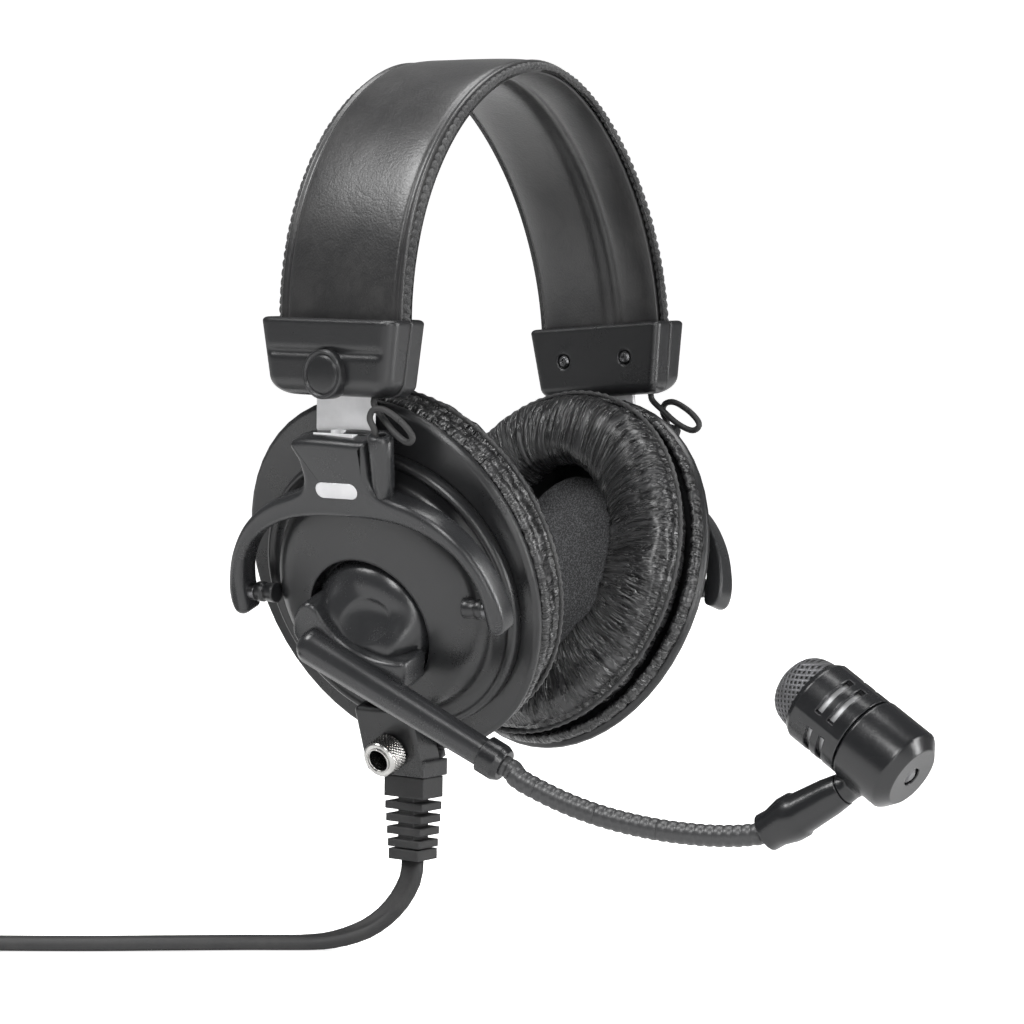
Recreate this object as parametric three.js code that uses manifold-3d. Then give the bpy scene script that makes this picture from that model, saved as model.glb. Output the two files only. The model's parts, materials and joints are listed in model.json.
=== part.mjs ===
// Single-boom broadcast headset: padded spring headband, two closed ear cups
// on sliding yokes, a pivoting gooseneck boom microphone on the wearer's right
// cup, and a twin-lobe cord that ends in a five-pin cable connector.
//
// Millimetres, +Z up, the wearer faces -Y and the boom is on the -X side.
// The origin is the middle of the headband's underside, where it rests on
// the wearer's head. Inside `headset` heights are measured from the top face
// of the headband's end blocks, and a "side" group has X outward, Z up.

import * as THREE from 'three';
import { mergeVertices } from 'three/addons/utils/BufferGeometryUtils.js';
import Module from 'manifold-3d';

const wasm = await Module();
wasm.setup();

// ---------------------------------------------------------------- sizes

const GAP = 0.3;                       // clearance between pieces that touch
const rad = THREE.MathUtils.degToRad;

const BAND = {
  halfSpan: 60.3,                      // outer skin, half the width at the ends
  rise: 68.9,                          // outer skin above the end blocks
  width: 42,
  coverThickness: 2.2,
  channel: 2.4,                        // room for the springs and the sliders
  padThickness: 3,
  padWidth: 39,
  edgeRound: 0.8,
};
const SPRING = { thickness: 0.8, width: 7, offset: 13.5 };
const HEAD_REST = BAND.rise - BAND.coverThickness - BAND.channel - BAND.padThickness;

const FAR_SET = { turn: -5, drop: 3.6 };   // how the far arm of the spring sits

const BLOCK = {
  outer: 65.6, split: 58.2, inner: 51.6,
  height: 20, halfTop: 22.4, halfBottom: 19.4, corner: 4,
  lip: 9.4, lipProud: 1.2,
};
const BOSS = { radius: 6.4, capRadius: 4.9, drop: 14.2, y: 0.6 };
const COVER_SCREW = { radius: 1.7, head: 1.2, drop: 9.5, y: 10.4 };

const SLIDER = { face: 57.4, thickness: 1.2, width: 18.6, top: -3.5, bottom: -29.6 };
const FOOT = { thickness: 1.6, out: 62.2, halfWidth: 6.5 };
const SWIVEL_PIN = { radius: 2, length: 7, x: 59.8, clearance: 0.4 };

const CUP = { out: 37.6, down: 68.4, lean: 19.4, toe: 2 };
const FLANGE = { halfHeight: 50, halfWidth: 45.5, thickness: 3.2 };
const PLINTH = { halfHeight: 40.5, halfWidth: 39.5, height: 3.2 };
const DOME = { radius: 33, centreY: 1, centreZ: -2.5, height: 11.6, shoulder: 5.5 };
const RECESS = { radius: 18.6, depth: 4.4 };
const PAD = {
  depth: 18, halfHeight: 48.4, halfWidth: 44.6, holeHeight: 27, holeWidth: 21, fillet: 4,
};
const DRIVER = { radius: 20, magnet: 11, back: 5.5 };
const PIVOT = { x: 10.6, z: -2, halfSpan: 38.6, screwRadius: 2.3 };

const YOKE = {
  back: 8.2, stemBack: 6, front: 14.4, stemHalf: 11.4, stemTop: 44, waistZ: 32,
  armOuter: 43.8, armInner: 39.4, tip: -9,
};
const PILL = { width: 13.4, height: 4.4, z: 30.6 };

const HUB = { radius: 17.8, z: -8.6, y: -0.5, top: 12.6, dimple: 6.6 };
const BOOM = {
  height: 23.6,                        // tube axis, out from the flange plane
  tail: [-14.6, -8.4],                 // tail and collar ends of the tube: front, up
  collar: [37.8, -36.2],
  tailRadius: 4.9, collarRadius: 3.9,
  plateTop: -3.4,                      // upper edge of the swinging plate, from the hub's middle
};
const COLLAR = { radius: 5, length: 6.5 };

// Places on the gooseneck and the microphone, in the headset's own directions.
const NECK_ROUTE = [
  [-45.0, -48.6, -116.4], [-43.0, -58.2, -120.4], [-41.0, -67.2, -123.2], [-38.6, -76.2, -125.2],
  [-36.6, -86.4, -126.4], [-34.2, -97.4, -126.8], [-31.8, -106.0, -126.4], [-29.9, -112.4, -125.4],
];
const NECK = { radius: 2.8, links: 4 };
const SLEEVE = { from: [-29.7, -113.2, -125.2], to: [-26.6, -133.6, -112.6], radius: 6 };
const MIC = { back: [-25, -152.3, -108], front: [-25, -120.4, -88.9], radius: 11.2 };

const CABLE_BLOCK = { u: [0.3, 10], y: [-13.4, 5], w: [-53, -34], outlet: [24, -2.2, -121.9] };
const RELIEF = { length: 22.4, topHalf: 6.6, bottomHalf: 4.9, depthHalf: 4.2, ribs: 5 };
const JACK = { radius: 4.7, hole: 3.15, y: -3.2, z: -45.8, length: 6.4 };

const CORD = { width: 6.5 };               // its broad side
const CORD_ROUTE = [
  [-24, 2.2, -145], [-24.2, 2.4, -149.2], [-25.6, 4.1, -154.4], [-27.9, 7.2, -159.4],
  [-31.2, 11.6, -163.6], [-35.7, 17.6, -166.4], [-40.5, 23.8, -167.5], [-51.9, 37.3, -167.6],
  [-65.6, 52, -167.6], [-79.3, 66.7, -167.6], [-92.1, 82.1, -167.6], [-104.2, 98, -167.6],
  [-117, 115.9, -167.6],
];
const FLOOR = -169.5;                  // the level that the cord lies on
const COIL = { centre: [-94.7, 167.9], middle: 39, across: 4, layers: 3, layerHeight: 4.2 };
const TIE = { thickness: 0.9, width: 8, place: 120 };
const PLUG = { from: [-66, 216.6, -161.6], to: [11.9, 216.6, -160.2], radius: 9.3, boot: 17, neck: 6.4, wall: 1.1 };
const LINK_WIRE = [
  [60.6, 12.6, -20.5], [60.8, 14.4, -22.8], [61.8, 18.2, -24.8], [63, 19.6, -27.4],
  [63.7, 17.4, -29.4], [63.4, 14.7, -30.3], [62.8, 14.1, -32.4], [61.6, 14, -36],
];
const LINK_WIRE_RADIUS = 0.8;

// ------------------------------------------------------------ materials

const finish = (color, roughness, metalness = 0) => ({ color, roughness, metalness });
const FINISH = {
  leather: finish(0x161617, 0.5),
  padLeather: finish(0x101011, 0.36),
  plastic: finish(0x1d1e20, 0.48),
  satin: finish(0x26282a, 0.4),
  steel: finish(0xc2c4c6, 0.28, 1),
  spring: finish(0x8e9194, 0.35, 1),
  black: finish(0x141415, 0.4, 1),
  rubber: finish(0x121213, 0.7),
  foam: finish(0x2c2d2f, 0.95),
  bright: finish(0xd8dadc, 0.2, 1),
};

const headset = new THREE.Group();
headset.position.z = -HEAD_REST;

/** Adds a named mesh with its own material to a group. */
function piece(group, name, geometry, look) {
  const mesh = new THREE.Mesh(geometry, new THREE.MeshStandardMaterial(look));
  mesh.name = name;
  group.add(mesh);
  return mesh;
}

// ------------------------------------------------------- solid helpers

/** Turns a closed three.js geometry into a manifold solid. */
function solid(geometry) {
  const bare = geometry.index ? geometry.toNonIndexed() : geometry.clone();
  bare.deleteAttribute('normal');
  bare.deleteAttribute('uv');
  const merged = mergeVertices(bare, 1e-4);
  return new wasm.Manifold(new wasm.Mesh({
    numProp: 3,
    vertProperties: new Float32Array(merged.attributes.position.array),
    triVerts: new Uint32Array(merged.index.array),
  }));
}

/** Turns a manifold solid back into a three.js geometry. */
function geometryOf(manifold) {
  const mesh = manifold.getMesh();
  const geometry = new THREE.BufferGeometry();
  const positions = [];
  for (let v = 0; v < mesh.numVert; v += 1) {
    for (let k = 0; k < 3; k += 1) positions.push(mesh.vertProperties[v * mesh.numProp + k]);
  }
  geometry.setAttribute('position', new THREE.Float32BufferAttribute(positions, 3));
  geometry.setIndex(Array.from(mesh.triVerts));
  return geometry;
}

/** Cuts the tool geometries out of a base geometry. */
function cut(base, ...tools) {
  const result = tools.reduce((body, tool) => body.subtract(solid(tool)), solid(base));
  return geometryOf(result);
}

/** Joins geometries that overlap into one body. */
function join(first, ...others) {
  return geometryOf(others.reduce((body, other) => body.add(solid(other)), solid(first)));
}

/** A box given by its lowest and highest corners. */
function boxBetween(low, high) {
  const size = high.map((value, k) => value - low[k]);
  const geometry = new THREE.BoxGeometry(...size);
  return geometry.translate(...low.map((value, k) => value + size[k] / 2));
}

/** A shape extruded along its own Z from `from` to `to`, edges rounded by `round`. */
function slab(shape, from, to, round = 0, steps = 1, curveSegments = 10) {
  const geometry = new THREE.ExtrudeGeometry(shape, {
    depth: to - from - 2 * round,
    bevelEnabled: round > 0,
    bevelThickness: round,
    bevelSize: round,
    bevelOffset: -round,
    bevelSegments: round > 1.5 ? 2 : 1,
    steps,
    curveSegments,
  });
  return geometry.translate(0, 0, from + round);
}

/** Turns a slab drawn in (Y, Z) so that it is extruded along +X. */
function alongX(geometry) {
  return geometry.applyMatrix4(new THREE.Matrix4().makeBasis(
    new THREE.Vector3(0, 1, 0), new THREE.Vector3(0, 0, 1), new THREE.Vector3(1, 0, 0)));
}

/** A profile of [radius, height] pairs turned about Z, closed on the axis. */
function turned(profile, segments = 24) {
  return new THREE.LatheGeometry(profile.map(([r, z]) => new THREE.Vector2(r, z)), segments)
    .rotateX(Math.PI / 2);
}

/** A turned solid laid along +X. */
function turnedX(profile, segments = 24) {
  return turned(profile, segments).rotateY(Math.PI / 2);
}

/** A plain round rod along X between two places on the axis. */
function rodX(radius, from, to, segments = 20) {
  return turnedX([[0, from], [radius, from], [radius, to], [0, to]], segments);
}

/** An ellipse outline as a shape. */
function ellipse(halfA, halfB, centreA = 0, centreB = 0) {
  const shape = new THREE.Shape();
  shape.absellipse(centreA, centreB, halfA, halfB, 0, Math.PI * 2);
  return shape;
}

/** An upright trapezoid with rounded lower corners, drawn from its top edge down. */
function taperedPanel(halfTop, halfBottom, height, corner) {
  const shape = new THREE.Shape();
  shape.moveTo(-halfTop, 0);
  shape.lineTo(-halfBottom - 0.4, -height + corner);
  shape.quadraticCurveTo(-halfBottom, -height, -halfBottom + corner, -height);
  shape.lineTo(halfBottom - corner, -height);
  shape.quadraticCurveTo(halfBottom, -height, halfBottom + 0.4, -height + corner);
  shape.lineTo(halfTop, 0);
  shape.closePath();
  return shape;
}

/** A rectangle with fully rounded corners of one radius. */
function roundedRectangle(halfA, halfB, corner, centreA = 0, centreB = 0) {
  const shape = new THREE.Shape();
  const [a, b] = [halfA - corner, halfB - corner];
  shape.absarc(centreA + a, centreB + b, corner, 0, Math.PI / 2);
  shape.absarc(centreA - a, centreB + b, corner, Math.PI / 2, Math.PI);
  shape.absarc(centreA - a, centreB - b, corner, Math.PI, Math.PI * 1.5);
  shape.absarc(centreA + a, centreB - b, corner, Math.PI * 1.5, Math.PI * 2);
  return shape;
}

/** The turn that takes +Z to the given direction. */
function aim(direction) {
  return new THREE.Quaternion().setFromUnitVectors(new THREE.Vector3(0, 0, 1), direction.clone().normalize());
}

/** A profile turned about the line from one point towards another. */
function turnedBetween(profile, from, to, segments = 20) {
  const start = new THREE.Vector3(...from);
  const direction = new THREE.Vector3(...to).sub(start);
  return turned(profile, segments).applyQuaternion(aim(direction)).translate(start.x, start.y, start.z);
}

const distance = (a, b) => new THREE.Vector3(...a).distanceTo(new THREE.Vector3(...b));

/** A round tube along a list of points. */
function tube(points, radius, steps, sides = 8) {
  const path = new THREE.CatmullRomCurve3(points.map((p) => new THREE.Vector3(...p)), false, 'centripetal');
  const section = new THREE.Shape();
  section.absarc(0, 0, radius, 0, Math.PI * 2);
  return new THREE.ExtrudeGeometry(section, {
    steps, curveSegments: sides / 2, bevelEnabled: false, extrudePath: path,
  });
}

// ------------------------------------------------------------ headband

/** Moves the far arm of a headband layer to how the far arm sits. */
function setFarArm(geometry) {
  const places = geometry.attributes.position;
  for (let v = 0; v < places.count; v += 1) {
    const [x, y, z] = [places.getX(v), places.getY(v), places.getZ(v)];
    const share = THREE.MathUtils.smoothstep(x, -BAND.halfSpan * 0.35, BAND.halfSpan * 0.97);
    const turn = rad(FAR_SET.turn * share);
    places.setXYZ(v, x, y * Math.cos(turn) - z * Math.sin(turn),
      y * Math.sin(turn) + z * Math.cos(turn) - FAR_SET.drop * share);
  }
  return geometry;
}

/** One layer of the band: the space between two ellipses, `width` wide along Y. */
function bandLayer(outerDepth, innerDepth, low, width, centreY, round, parts = 28) {
  const shape = new THREE.Shape();
  const rim = (depth, t) => {
    const [a, b] = [BAND.halfSpan - depth, BAND.rise - depth];
    const end = Math.asin(Math.min(low / b, 1));
    const angle = end + (Math.PI - 2 * end) * t;
    return [a * Math.cos(angle), b * Math.sin(angle)];
  };
  shape.moveTo(...rim(outerDepth, 0));
  for (let k = 1; k <= parts; k += 1) shape.lineTo(...rim(outerDepth, k / parts));
  for (let k = parts; k >= 0; k -= 1) shape.lineTo(...rim(innerDepth, k / parts));
  shape.closePath();
  const layer = slab(shape, -width / 2, width / 2, round);
  layer.rotateX(Math.PI / 2).translate(0, centreY, 0);
  return setFarArm(layer);
}

const channelTop = BAND.coverThickness;
const channelFloor = BAND.coverThickness + BAND.channel;
const bandFoot = 0.4;
piece(headset, 'band_cover',
  bandLayer(0, channelTop, bandFoot, BAND.width, 0, BAND.edgeRound), FINISH.leather);
piece(headset, 'band_pad',
  bandLayer(channelFloor, channelFloor + BAND.padThickness, bandFoot, BAND.padWidth, 0, BAND.edgeRound),
  FINISH.padLeather);
for (const [name, y] of [['band_spring_front', -SPRING.offset], ['band_spring_rear', SPRING.offset]]) {
  const depth = channelTop + (BAND.channel - SPRING.thickness) / 2;
  const strip = bandLayer(depth, depth + SPRING.thickness, bandFoot, SPRING.width, y, 0);
  piece(headset, name, strip, FINISH.spring);
}

// ----------------------------------------------------------- end blocks

/** Outer shell of an end block: ledge, lip and the slider's pocket. */
function blockShell() {
  const body = alongX(slab(taperedPanel(BLOCK.halfTop - 0.9, BLOCK.halfBottom, BLOCK.height, BLOCK.corner),
    BLOCK.split, BLOCK.outer, 1.3));
  const lip = alongX(slab(taperedPanel(BLOCK.halfTop, BLOCK.halfTop - 1.2, BLOCK.lip, 0.8),
    BLOCK.split, BLOCK.outer + BLOCK.lipProud, 0.6));
  const seat = rodX(BOSS.radius + GAP, BLOCK.outer - 1.2, BLOCK.outer + 4, 28)
    .translate(0, BOSS.y, -BOSS.drop);
  return cut(join(body, lip), seat);
}

/** Inner cover plate of an end block, with the slider's pocket and screw seats. */
function blockCover() {
  const plate = alongX(slab(taperedPanel(BLOCK.halfTop - 0.6, BLOCK.halfBottom, BLOCK.height, BLOCK.corner),
    BLOCK.inner, BLOCK.split - GAP, 1));
  const pocketHalf = SLIDER.width / 2 + 0.4;
  const pocket = boxBetween([SLIDER.face - SLIDER.thickness - 0.5, -pocketHalf, -BLOCK.height - 1],
    [BLOCK.split + 1, pocketHalf, 1]);
  const seats = [-1, 1].map((side) => rodX(COVER_SCREW.radius + GAP, BLOCK.inner - 2, BLOCK.inner + 1.2, 14)
    .translate(0, side * COVER_SCREW.y, -COVER_SCREW.drop));
  return cut(plate, pocket, ...seats);
}

/** A pan-head screw seen from its head, which points along -X. */
function panScrew(radius, height, x, y, z) {
  const profile = [[0, 0], [radius, 0], [radius, height * 0.55], [radius * 0.7, height], [0, height]];
  const head = turned(profile, 14).rotateY(-Math.PI / 2);
  const slots = [0, Math.PI / 2].map((turn) => boxBetween([-height - 1, -radius * 0.62, -0.22],
    [-height * 0.6, radius * 0.62, 0.22]).rotateX(turn));
  return cut(head, ...slots).translate(x, y, z);
}

/** Everything that is fixed to the headband at one end. */
function endBlock(group, side) {
  piece(group, `block_shell_${side}`, blockShell(), FINISH.plastic);
  piece(group, `block_cover_${side}`, blockCover(), FINISH.plastic);
  const boss = turnedX([[0, 0], [BOSS.radius, 0], [BOSS.radius, 1.9], [BOSS.radius - 0.5, 2.4],
    [BOSS.capRadius, 2], [BOSS.capRadius - 0.5, 2.6], [0, 2.7]], 24);
  piece(group, `block_boss_${side}`, boss.translate(BLOCK.outer - 0.9, BOSS.y, -BOSS.drop), FINISH.plastic);
  for (const [place, y] of [['a', -COVER_SCREW.y], ['b', COVER_SCREW.y]]) {
    piece(group, `block_screw_${side}_${place}`,
      panScrew(COVER_SCREW.radius, COVER_SCREW.head, BLOCK.inner + 0.8, y, -COVER_SCREW.drop), FINISH.black);
  }
}

// --------------------------------------------------------------- sliders

/** The steel plate that slides in a block, with the round pin that the yoke turns on. */
function slider(group, side) {
  const low = SLIDER.face - SLIDER.thickness;
  const plate = alongX(slab(roundedRectangle(SLIDER.width / 2, (SLIDER.top - SLIDER.bottom) / 2, 1.2,
    0, (SLIDER.top + SLIDER.bottom) / 2), low, SLIDER.face));
  const foot = boxBetween([low, -FOOT.halfWidth, SLIDER.bottom - FOOT.thickness],
    [FOOT.out, FOOT.halfWidth, SLIDER.bottom]);
  const pinLow = SLIDER.bottom - FOOT.thickness - SWIVEL_PIN.length;
  const pin = turned([[0, pinLow], [SWIVEL_PIN.radius, pinLow], [SWIVEL_PIN.radius, SLIDER.bottom + 0.8],
    [0, SLIDER.bottom + 1.2]], 18).translate(SWIVEL_PIN.x, 0, 0);
  piece(group, `slider_${side}`, join(plate, foot, pin), FINISH.steel);
}

// ----------------------------------------------------------------- yokes

/** The C-shaped outline of the yoke, made wider all round by `clear`. */
function yokeOutline(clear = 0) {
  const point = (y, z) => new THREE.Vector2(y, z);
  const { stemHalf, waistZ, armOuter, armInner, tip } = YOKE;
  const shoulder = new THREE.QuadraticBezierCurve(point(stemHalf - 0.8 + clear, waistZ),
    point(stemHalf + 2 + clear, waistZ - 3 + clear), point(stemHalf + 9 + clear, waistZ - 5 + clear));
  const arc = new THREE.QuadraticBezierCurve(point(stemHalf + 9 + clear, waistZ - 5 + clear),
    point(armOuter - 1 + clear, 19 + clear), point(armOuter + clear, -1));
  const inside = new THREE.QuadraticBezierCurve(point(armInner - clear, -1),
    point(armInner - 3 - clear, 20.5 - clear), point(0, 22.5 - clear));
  const right = [point(stemHalf + clear, YOKE.stemTop),
    ...shoulder.getPoints(5), ...arc.getPoints(8).slice(1),
    point(armOuter - 0.6 + clear, tip), point(armInner + 0.2 - clear, tip), ...inside.getPoints(12)];
  const left = right.slice(0, -1).reverse().map((p) => point(-p.x, p.y));
  return new THREE.Shape([...right, ...left]);
}

/** The yoke before its holes are made: stem, shoulders and two arms. */
function yokeBody() {
  return alongX(slab(yokeOutline(), YOKE.back, YOKE.front, 0.9, 1, 6));
}

/** Half-round guide beside the stem that takes the link wire. */
function wireGuide(front) {
  const post = turned([[0, 22], [2.5, 22], [2.5, YOKE.stemTop], [0, YOKE.stemTop]], 12);
  return post.translate(YOKE.front - 2.4, front * (YOKE.stemHalf + 1.8), 0);
}

// ---------------------------------------------------------------- ear cups

/** Housing shell: plinth, dome, shoulder and a hollow inside. */
function cupHousing(withBoom, front) {
  const base = alongX(slab(ellipse(PLINTH.halfWidth, PLINTH.halfHeight), GAP, PLINTH.height, 0.9, 1, 24));
  const crown = [[0, 0.4], [DOME.radius, 0.4], [DOME.radius, DOME.height - DOME.shoulder],
    [DOME.radius - 0.9, DOME.height - 2.2], [DOME.radius - 3.4, DOME.height - 0.5],
    [DOME.radius - 7, DOME.height], [0, DOME.height + 0.9]];
  const dome = turnedX(crown, 40).translate(0, front * DOME.centreY, DOME.centreZ);
  const hollow = turnedX([[0, -2], [28, -2], [28, 4], [24, 7.4], [0, 8.2]], 24)
    .translate(0, front * DOME.centreY, DOME.centreZ);
  const bosses = [-1, 1].map((end) => boxBetween([PIVOT.x - 4.5, -2.4, PIVOT.z - 4.4],
    [PIVOT.x + 1.6, 2.4, PIVOT.z + 4.4]).translate(0, end * (PIVOT.halfSpan - 5.3), 0));
  const tools = [hollow, alongX(slab(yokeOutline(1), YOKE.back - 1.3, YOKE.front + 4))];
  if (withBoom) {
    tools.push(boxBetween([-1, CABLE_BLOCK.y[0] - GAP, -60],
      [20, CABLE_BLOCK.y[1] + GAP, CABLE_BLOCK.w[1] + GAP]));
    tools.push(rodX(RECESS.radius, DOME.height - RECESS.depth, DOME.height + 4, 32)
      .translate(0, HUB.y, HUB.z));
  }
  tools.push(...[-1, 1].map((end) => boxBetween([PIVOT.x - 8, -3, PIVOT.z - 6], [PIVOT.x + 8, 3, PIVOT.z + 6])
    .translate(0, end * (PIVOT.halfSpan + 0.2), 0)));
  return cut(join(base, dome, ...bosses), ...tools);
}

/** Oval baffle plate that carries the driver and the pad. */
function baffle() {
  const plate = alongX(slab(ellipse(FLANGE.halfWidth, FLANGE.halfHeight), -FLANGE.thickness, 0, 1, 1, 28));
  return cut(plate, rodX(DRIVER.radius + GAP, -10, 10, 32));
}

/** Ear pad: an oval cushion with rounded rims and an oval ear opening. */
function earPad() {
  const outline = ellipse(PAD.halfWidth, PAD.halfHeight);
  outline.holes.push(ellipse(PAD.holeWidth, PAD.holeHeight));
  const back = -FLANGE.thickness - GAP;
  return alongX(slab(outline, back - PAD.depth, back, PAD.fillet, 1, 14));
}

/** Driver capsule: a magnet pot on a basket that sits in the baffle. */
function driver() {
  return turnedX([[0, -FLANGE.thickness - 0.4], [DRIVER.radius, -FLANGE.thickness - 0.4],
    [DRIVER.radius, -0.6], [DRIVER.radius - 3, 0.8], [DRIVER.magnet, 1.4], [DRIVER.magnet, DRIVER.back],
    [0, DRIVER.back]], 32);
}

/** Foam disc that covers the driver inside the pad. */
function driverCover() {
  const low = -FLANGE.thickness - 0.7 - 2;
  const disc = ellipse(PAD.holeWidth - 0.5, PAD.holeHeight - 0.5);
  return alongX(slab(disc, low, -FLANGE.thickness - 0.7, 0.4, 1, 16));
}

/** One complete arm: block, slider, yoke and cup. */
function arm(side) {
  const near = side === 'near';
  const front = near ? 1 : -1;
  const group = new THREE.Group();
  group.rotation.z = near ? Math.PI : 0;
  endBlock(group, side);
  slider(group, side);
  const cup = new THREE.Group();
  cup.position.set(CUP.out, 0, -CUP.down);
  cup.rotation.set(0, rad(CUP.lean), rad(near ? CUP.toe : -CUP.toe), 'ZYX');
  group.add(cup);
  cup.updateMatrix();

  const toCup = cup.matrix.clone().invert();
  const holeRadius = SWIVEL_PIN.radius + SWIVEL_PIN.clearance;
  const stemTop = SLIDER.bottom - FOOT.thickness - 0.5;
  const pinHole = turned([[0, stemTop - SWIVEL_PIN.length], [holeRadius, stemTop - SWIVEL_PIN.length],
    [holeRadius, 0], [0, 0]], 20).translate(SWIVEL_PIN.x, 0, 0).applyMatrix4(toCup);
  const topTrim = boxBetween([30, -30, stemTop], [90, 30, 20]).applyMatrix4(toCup);
  const stemBack = boxBetween([YOKE.stemBack, -YOKE.stemHalf, 32], [YOKE.back + 2, YOKE.stemHalf, 44]);
  const guide = wireGuide(front);
  const guideBore = turned([[0, 30], [1.3, 30], [1.3, 60], [0, 60]], 10)
    .translate(YOKE.front - 2.4, front * (YOKE.stemHalf + 1.8), 0);
  const pillEnd = PILL.height / 2;
  const pill = alongX(slab(roundedRectangle(PILL.width / 2, pillEnd, pillEnd - 0.01, 0, PILL.z),
    YOKE.front - 0.5, YOKE.front + 0.35, 0.2, 1, 4));
  const pillSeat = alongX(slab(roundedRectangle(PILL.width / 2 + GAP, pillEnd + GAP,
    pillEnd + GAP - 0.01, 0, PILL.z), YOKE.front - 0.9, YOKE.front + 3, 0, 1, 4));
  const screwHoles = [-1, 1].map((end) => turned([[0, -6], [PIVOT.screwRadius + 0.4, -6],
    [PIVOT.screwRadius + 0.4, 6], [0, 6]], 16).rotateX(Math.PI / 2)
    .translate(PIVOT.x, end * (PIVOT.halfSpan + 3), PIVOT.z));
  piece(cup, `yoke_${side}`, cut(join(yokeBody(), stemBack, guide), topTrim, pinHole, guideBore, pillSeat,
    ...screwHoles), FINISH.satin);
  piece(cup, `yoke_inlay_${side}`, pill, FINISH.bright);
  for (const [place, end] of [['a', -1], ['b', 1]]) {
    const screw = turned([[0, 0], [PIVOT.screwRadius, 0], [PIVOT.screwRadius, 3.6], [1.6, 4.6], [0, 4.6]], 16)
      .rotateX(-Math.PI / 2 * end).translate(PIVOT.x, end * (PIVOT.halfSpan - 1.6), PIVOT.z);
    piece(cup, `pivot_screw_${side}_${place}`, screw, FINISH.black);
  }
  piece(cup, `cup_housing_${side}`, cupHousing(near, front), FINISH.plastic);
  piece(cup, `cup_baffle_${side}`, baffle(), FINISH.plastic);
  piece(cup, `ear_pad_${side}`, earPad(), FINISH.padLeather);
  piece(cup, `driver_${side}`, driver(), FINISH.black);
  piece(cup, `driver_cover_${side}`, driverCover(), FINISH.foam);
  return { group, cup };
}

const nearArm = arm('near');
const farArm = arm('far');
const farSet = new THREE.Group();
farSet.rotation.x = rad(FAR_SET.turn);
farSet.position.z = -FAR_SET.drop;
farSet.add(farArm.group);
headset.add(nearArm.group, farSet);

// ---------------------------------------------------- boom on the near cup

/** Places a slab so that its upper edge runs along the boom, `rise` above the hub. */
function boomHalfPlane(rise, from, to) {
  const slope = Math.atan2(BOOM.collar[1] - BOOM.tail[1], BOOM.collar[0] - BOOM.tail[0]);
  return boxBetween([from, -60, rise], [to, 60, rise + 60]).rotateX(slope).translate(0, HUB.y, HUB.z);
}

/** Hub disc with a finger dimple, turning in the housing's recess. */
function boomHub() {
  const low = DOME.height - RECESS.depth + GAP;
  const disc = turnedX([[0, low], [HUB.radius, low], [HUB.radius, HUB.top - 1.2], [HUB.radius - 1.4, HUB.top],
    [HUB.dimple, HUB.top], [HUB.dimple - 1.8, HUB.top - 1.3], [0, HUB.top - 1.7]], 32);
  return disc.translate(0, HUB.y, HUB.z);
}

/** Swinging plate and tube of the boom, in one moulding. */
function boomArm() {
  const tail = [BOOM.height, ...BOOM.tail];
  const collar = [BOOM.height, ...BOOM.collar];
  const length = distance(tail, collar);
  const barrel = turnedBetween([[0, -3.6], [BOOM.tailRadius * 0.62, -3], [BOOM.tailRadius, 0.6],
    [BOOM.tailRadius, length * 0.3], [BOOM.collarRadius, length - 3], [BOOM.collarRadius, length],
    [0, length]], tail, collar, 20);
  const plate = rodX(HUB.radius - 0.6, HUB.top + GAP, BOOM.height - 1.5, 32).translate(0, HUB.y, HUB.z);
  const kept = cut(plate, boomHalfPlane(BOOM.plateTop, 0, 40));
  return join(kept, barrel);
}

const boomGroup = nearArm.cup;
piece(boomGroup, 'boom_hub', boomHub(), FINISH.satin);
piece(boomGroup, 'boom_arm', boomArm(), FINISH.satin);

/** A place on the near cup as a place in the headset's own directions. */
function fromCup(place) {
  const point = new THREE.Vector3(...place).applyMatrix4(nearArm.cup.matrix);
  nearArm.group.updateMatrix();
  return point.applyMatrix4(nearArm.group.matrix).toArray();
}

const armEnd = fromCup([BOOM.height, ...BOOM.collar]);
const armTail = fromCup([BOOM.height, ...BOOM.tail]);
const along = new THREE.Vector3(...armEnd).sub(new THREE.Vector3(...armTail)).normalize();
const collarFrom = new THREE.Vector3(...armEnd).addScaledVector(along, GAP).toArray();
const collarTo = new THREE.Vector3(...armEnd).addScaledVector(along, COLLAR.length).toArray();
const collarProfile = [[0, 0], [COLLAR.radius, 0], [COLLAR.radius, COLLAR.length * 0.7],
  [COLLAR.radius - 0.8, COLLAR.length - GAP], [0, COLLAR.length - GAP]];
piece(headset, 'boom_collar', turnedBetween(collarProfile, collarFrom, collarTo), FINISH.plastic);

/** One link of the gooseneck: a bent rod with ball ends. */
function neckLink(curve, from, to) {
  const parts = 4;
  const places = [];
  for (let k = 0; k <= parts; k += 1) {
    places.push(curve.getPointAt(from + (to - from) * (k / parts)).toArray());
  }
  const ball = (place) => new THREE.SphereGeometry(NECK.radius, 10, 6).translate(...place);
  return join(tube(places, NECK.radius, parts, 8), ball(places[0]), ball(places[parts]));
}

const neckStart = new THREE.Vector3(...armEnd).addScaledVector(along, COLLAR.length + GAP + NECK.radius);
const neckCurve = new THREE.CatmullRomCurve3(
  [neckStart, ...NECK_ROUTE.map((p) => new THREE.Vector3(...p))], false, 'centripetal');
const neckLength = neckCurve.getLength();
const ballGap = (NECK.radius + GAP / 2) / neckLength;
for (let k = 0; k < NECK.links; k += 1) {
  const from = k / NECK.links + (k === 0 ? 0 : ballGap);
  const to = (k + 1) / NECK.links - ballGap;
  piece(headset, `gooseneck_${k + 1}`, neckLink(neckCurve, from, to), FINISH.black);
}

// ------------------------------------------------------------ microphone

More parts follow.
